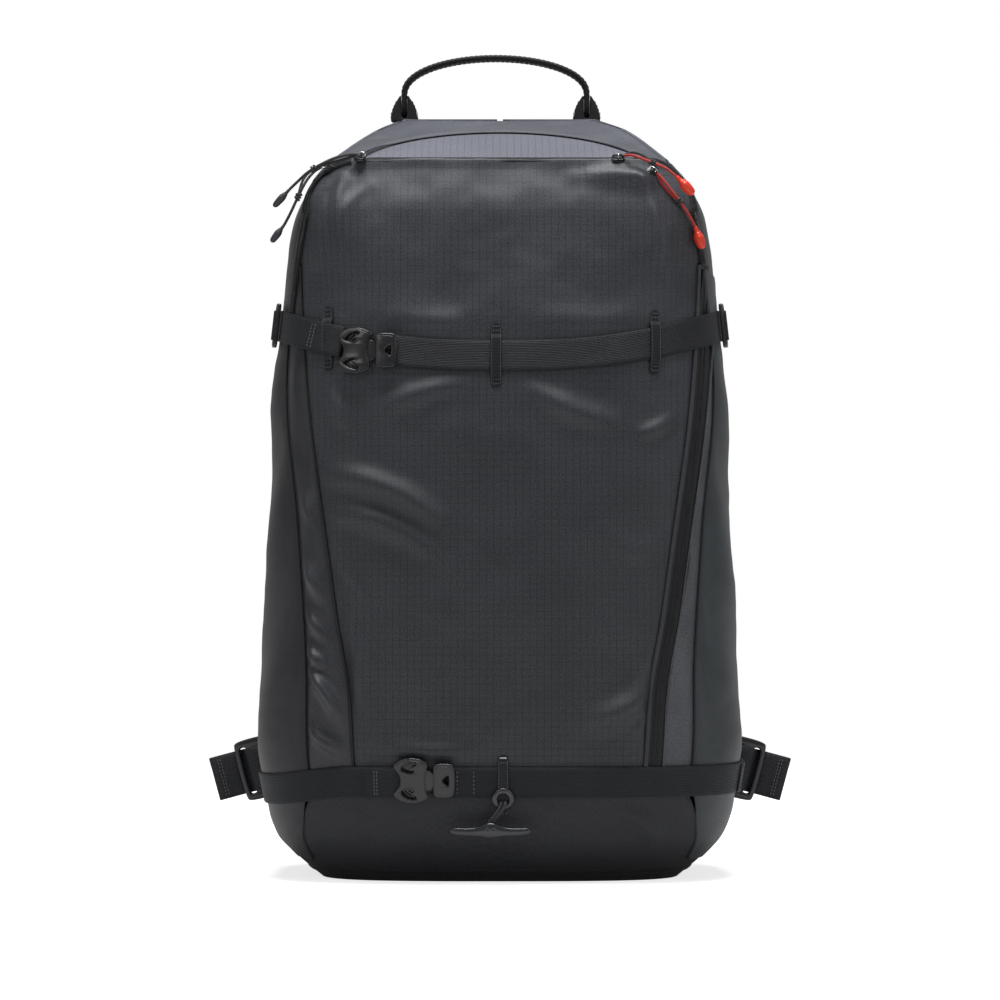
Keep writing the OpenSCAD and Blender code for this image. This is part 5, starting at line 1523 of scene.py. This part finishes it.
for side, word in ((-1, "left"), (1, "right")):
    t = np.linspace(.006, .994, 92)
    path = shoulderAt(side, t)
    width = 58.5 - 5 * ease(.75, 1, t)
    padPiece("shoulderPad_" + word, sweptForm(path, (1, 0, 0), width, 8.6), "shoulder_" + word,
             "shoulder_pad_" + word, 1.1,
             lambda p, side=side: 2.0 * sum(hump(p[:, 2] - level, 2.8) for level in (404, 352, 300, 248)))
    pipeWidth = 54.5 - 5 * ease(.75, 1, np.linspace(.01, .99, 60))
    piping("shoulderPiping_" + word, shoulderAt(side, np.linspace(.015, .985, 60)), (1, 0, 0), pipeWidth,
           1.25, "shoulder_" + word)
    # Webbing down the middle of the pad's outer face, with a daisy row of bar tacks
    face = shoulderAt(side, np.linspace(.04, .97, 80))
    along, across, up = pathFrames(face, (1, 0, 0))
    outwardSign = np.sign(up[:, 1:2].mean())
    face = face + up * outwardSign * 5.6
    makePiece("shoulderDaisy_" + word, bandPart(face, across, up, 20, 1.1, .5), paint["webbing"],
              "shoulder_" + word)
    tacks = [crossRow(face, across, up, k, 8.6, outwardSign * .7, 10) for k in range(4, 78, 9)]
    facing = np.broadcast_to(up[0] * outwardSign, (10, 3))
    makePiece("shoulderTacks_" + word, [stitchPart(row, facing, 1.9, 1.5, .3) for row in tacks],
              paint["thread"], "shoulder_" + word)

    # Lower webbing from under the pad's ladder to its anchor by the boot
    e = shoulderAt(side, np.array([1.0]))[0]
    ring, heights, off = np.array([(155, 118, 8), (151, 98, 7), (147.5, 80, 6), (145, 64, 5),
                                   (142.5, 50, 3.8), (141, 38.6, 2.8)]).T
    low = list(lifted(side * ring, heights, off))
    line = smoothPath([e + [0, -1, -14.8]] + low, 10)
    along, across, up = pathFrames(line, (1, 0, 0))
    makePiece("shoulderWebbing_" + word, bandPart(line, across, up, 20, 1.5, .6), paint["webbing"], "pack",
              "shoulder_webbing_" + word)
    loops = [box2(-14, 14, -3.7, 3.7, 1.6, 3), box2(-10.5, 10.5, -1.3, 1.3, .6, 2)]
    ladder = platePart(loops, 4, .9, (e + [0, -1, -5.2], xWay, yWay, zWay))
    makePiece("shoulderLadder_" + word, ladder, paint["plastic"],
              "shoulder_" + word, "shoulder_ladder_" + word, smooth=35)

    # Sternum strap half: a short web and its moulded slot
    at = shoulderAt(side, np.array([.4]))[0]
    lean = math.radians(10.9)
    inWay = np.array([-side * math.cos(lean), 0, -math.sin(lean)])
    acrossWay = np.array([-side * math.sin(lean), 0, math.cos(lean)])
    root = at + inWay * 31.7
    strapLine = root + np.linspace(0, 14, 12)[:, None] * inWay
    across, up = np.broadcast_to(acrossWay, strapLine.shape), np.broadcast_to(yWay, strapLine.shape)
    makePiece("sternumStrap_" + word, bandPart(strapLine, across, up, 18, 1.8, .7), paint["webbing"],
              "sternum_" + word, "sternum_strap_" + word)
    loops = [box2(12.2, 17.2, -11, 11, 1.2, 3), box2(14.0, 15.8, -8.8, 8.8, .5, 2)]
    slotPlate = platePart(loops, 5, 1.1, (root + [0, 2.5, 0], inWay, -yWay, acrossWay))
    makePiece("sternumEnd_" + word, slotPlate, paint["plastic"], "sternum_" + word, smooth=35)

    # Hip fin with its webbing and one-bar adjuster
    t = np.linspace(.012, .988, 40)
    finWidth = 75 - 22 * ease(.25, 1, t)
    padPiece("hipFin_" + word, sweptForm(finAt(side, t), (0, 0, 1), finWidth, 9.4, 34), "hip_" + word,
             "hip_fin_" + word, 1.2,
             lambda p: 2.0 * np.clip(hump(np.abs(p[:, 2] - 73) - 17, 3), 0, 1))
    pipeWidth = 71 - 22 * ease(.25, 1, np.linspace(.02, .98, 34))
    piping("hipPiping_" + word, finAt(side, np.linspace(.035, .965, 34)), (0, 0, 1), pipeWidth, 1.3,
           "hip_" + word)
    e = finAt(side, np.array([1.0]))[0]
    tilt = math.radians(15)
    outWay = np.array([side * math.cos(tilt), 0, -math.sin(tilt)])
    acrossWay = np.array([side * math.sin(tilt), 0, math.cos(tilt)])
    loops = [box2(3.6, 30.6, -21, 21, 3.0, 3), box2(7.6, 12.2, -16, 16, 1.2, 2),
             box2(22.0, 26.6, -16, 16, 1.2, 2)]
    ladder = platePart(loops, 4.6, 1.1, (e + [0, 2.3, 0], outWay, -yWay, acrossWay))
    makePiece("hipLadder_" + word, ladder, paint["plastic"], "hip_" + word, "hip_ladder_" + word,
              smooth=35)
    webLine = smoothPath([(-14, 0), (-4, 1.0), (4, 1.6), (9, 1.6), (12.4, -2.6), (17.1, -4.0), (21.6, -2.6),
                          (25, 1.6),
                          (31, 1.4), (46, .2), (47.6, 1.6), (46, 2.6), (31, 3.2)], 5)
    points = e + webLine[:, :1] * outWay + webLine[:, 1:] * yWay
    across = np.broadcast_to(acrossWay, points.shape)
    up = unit(np.cross(np.gradient(points, axis=0), across))
    makePiece("hipWebbing_" + word, bandPart(points, across, up, 30, 1.5, .7), paint["hipWebbing"],
              "hip_" + word, "hip_webbing_" + word)
    rows = [e + r * outWay + np.linspace(-13, 13, 14)[:, None] * acrossWay - yWay for r in (43.0, 41.2)]
    facing = np.broadcast_to(-yWay, (14, 3))
    makePiece("hipWebStitches_" + word, [stitchPart(row, facing, 2.2, 1.7, .34) for row in rows],
              paint["thread"], "hip_" + word)

# Anchors for the lower webbing: folded tabs sewn to the boot
anchors, anchorStitches = [], []
for side in (-1, 1):
    c, s, o, u = onSkin(side * 141.0, 32.0, .4)
    fold = smoothPath([(-6, .8), (0, .9), (5, 1.1), (6.4, 1.9), (5, 2.7), (0, 2.4), (-6, 2.2)], 5)
    line = c + fold[:, :1] * u + fold[:, 1:] * o
    along = unit(np.gradient(line, axis=0))
    sides = np.broadcast_to(s, line.shape)
    anchors.append(bandPart(line, sides, unit(np.cross(along, sides)), 23.5, 1.1, .5))
    for level in (-4.6, -2.8):
        row = c + level * u + 3.0 * o + np.linspace(-10, 10, 12)[:, None] * s
        anchorStitches.append(stitchPart(row, np.broadcast_to(o, row.shape), 2.1, 1.6, .32))
makePiece("lowerAnchors", anchors, paint["webbing"], "pack", "lower_anchors")
makePiece("anchorStitches", anchorStitches, paint["thread"], "pack")
puffAll()
for node, key in (("zip_tape", "back"), ("frame_sheet", "board")):
    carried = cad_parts[node]
    carried.data.materials.clear()
    carried.data.materials.append(paint[key])
print("sliders, pads and hip belt made")


# Plain stage: pale floor, white world, soft lamps
floorMesh = bpy.data.meshes.new("floor")
floorMesh.from_pydata([(-1.6, -1.6, 0), (1.6, -1.6, 0), (1.6, 1.2, 0), (-1.6, 1.2, 0)], [], [(0, 1, 2, 3)])
floor = bpy.data.objects.new("floor", floorMesh)
bpy.context.scene.collection.objects.link(floor)
floorPaint = bpy.data.materials.new("floor")
floorPaint.use_nodes = True
tree = floorPaint.node_tree
floorShader = tree.nodes["Principled BSDF"]
floorShader.inputs["Base Color"].default_value = (.9, .9, .9, 1)
floorShader.inputs["Roughness"].default_value = .9
floorShader.inputs["Emission Color"].default_value = (1, 1, 1, 1)
seen = tree.nodes.new("ShaderNodeLightPath")
tree.links.new(mathNode(tree, "MULTIPLY", seen.outputs["Is Camera Ray"], .72),
               floorShader.inputs["Emission Strength"])
floorMesh.materials.append(floorPaint)

world = bpy.data.worlds.new("world")
bpy.context.scene.world = world
world.use_nodes = True
tree = world.node_tree
background = tree.nodes["Background"]
background.inputs["Color"].default_value = (1, 1, 1, 1)
seen = tree.nodes.new("ShaderNodeLightPath")
direct = mathNode(tree, "MAXIMUM", seen.outputs["Is Camera Ray"], seen.outputs["Is Transmission Ray"])
glossy = mathNode(tree, "MULTIPLY", seen.outputs["Is Glossy Ray"], .3)
tree.links.new(mathNode(tree, "MAXIMUM", direct, mathNode(tree, "MAXIMUM", glossy, .12)),
               background.inputs["Strength"])

lampSet = {
    "overhead": {"place": (0, -.15, 2.2), "aim": (0, 0, .3), "size": 1.1, "power": 50},
    "frontLeft": {"place": (-1.6, -2.2, 1.5), "aim": (0, 0, .25), "size": .9, "power": 6},
    "frontRight": {"place": (1.8, -1.8, 1.3), "aim": (0, 0, .25), "size": .9, "power": 6.5}}
for name, lamp in lampSet.items():
    light = bpy.data.lights.new(name, "AREA")
    light.size, light.energy = lamp["size"], lamp["power"]
    holder = bpy.data.objects.new(name, light)
    holder.location = lamp["place"]
    holder.rotation_euler = (Vector(lamp["aim"]) - Vector(lamp["place"])).to_track_quat("-Z", "Y").to_euler()
    bpy.context.scene.collection.objects.link(holder)
bpy.context.scene.view_settings.view_transform = "Standard"
print("stage made")

bpy.context.view_layer.update()
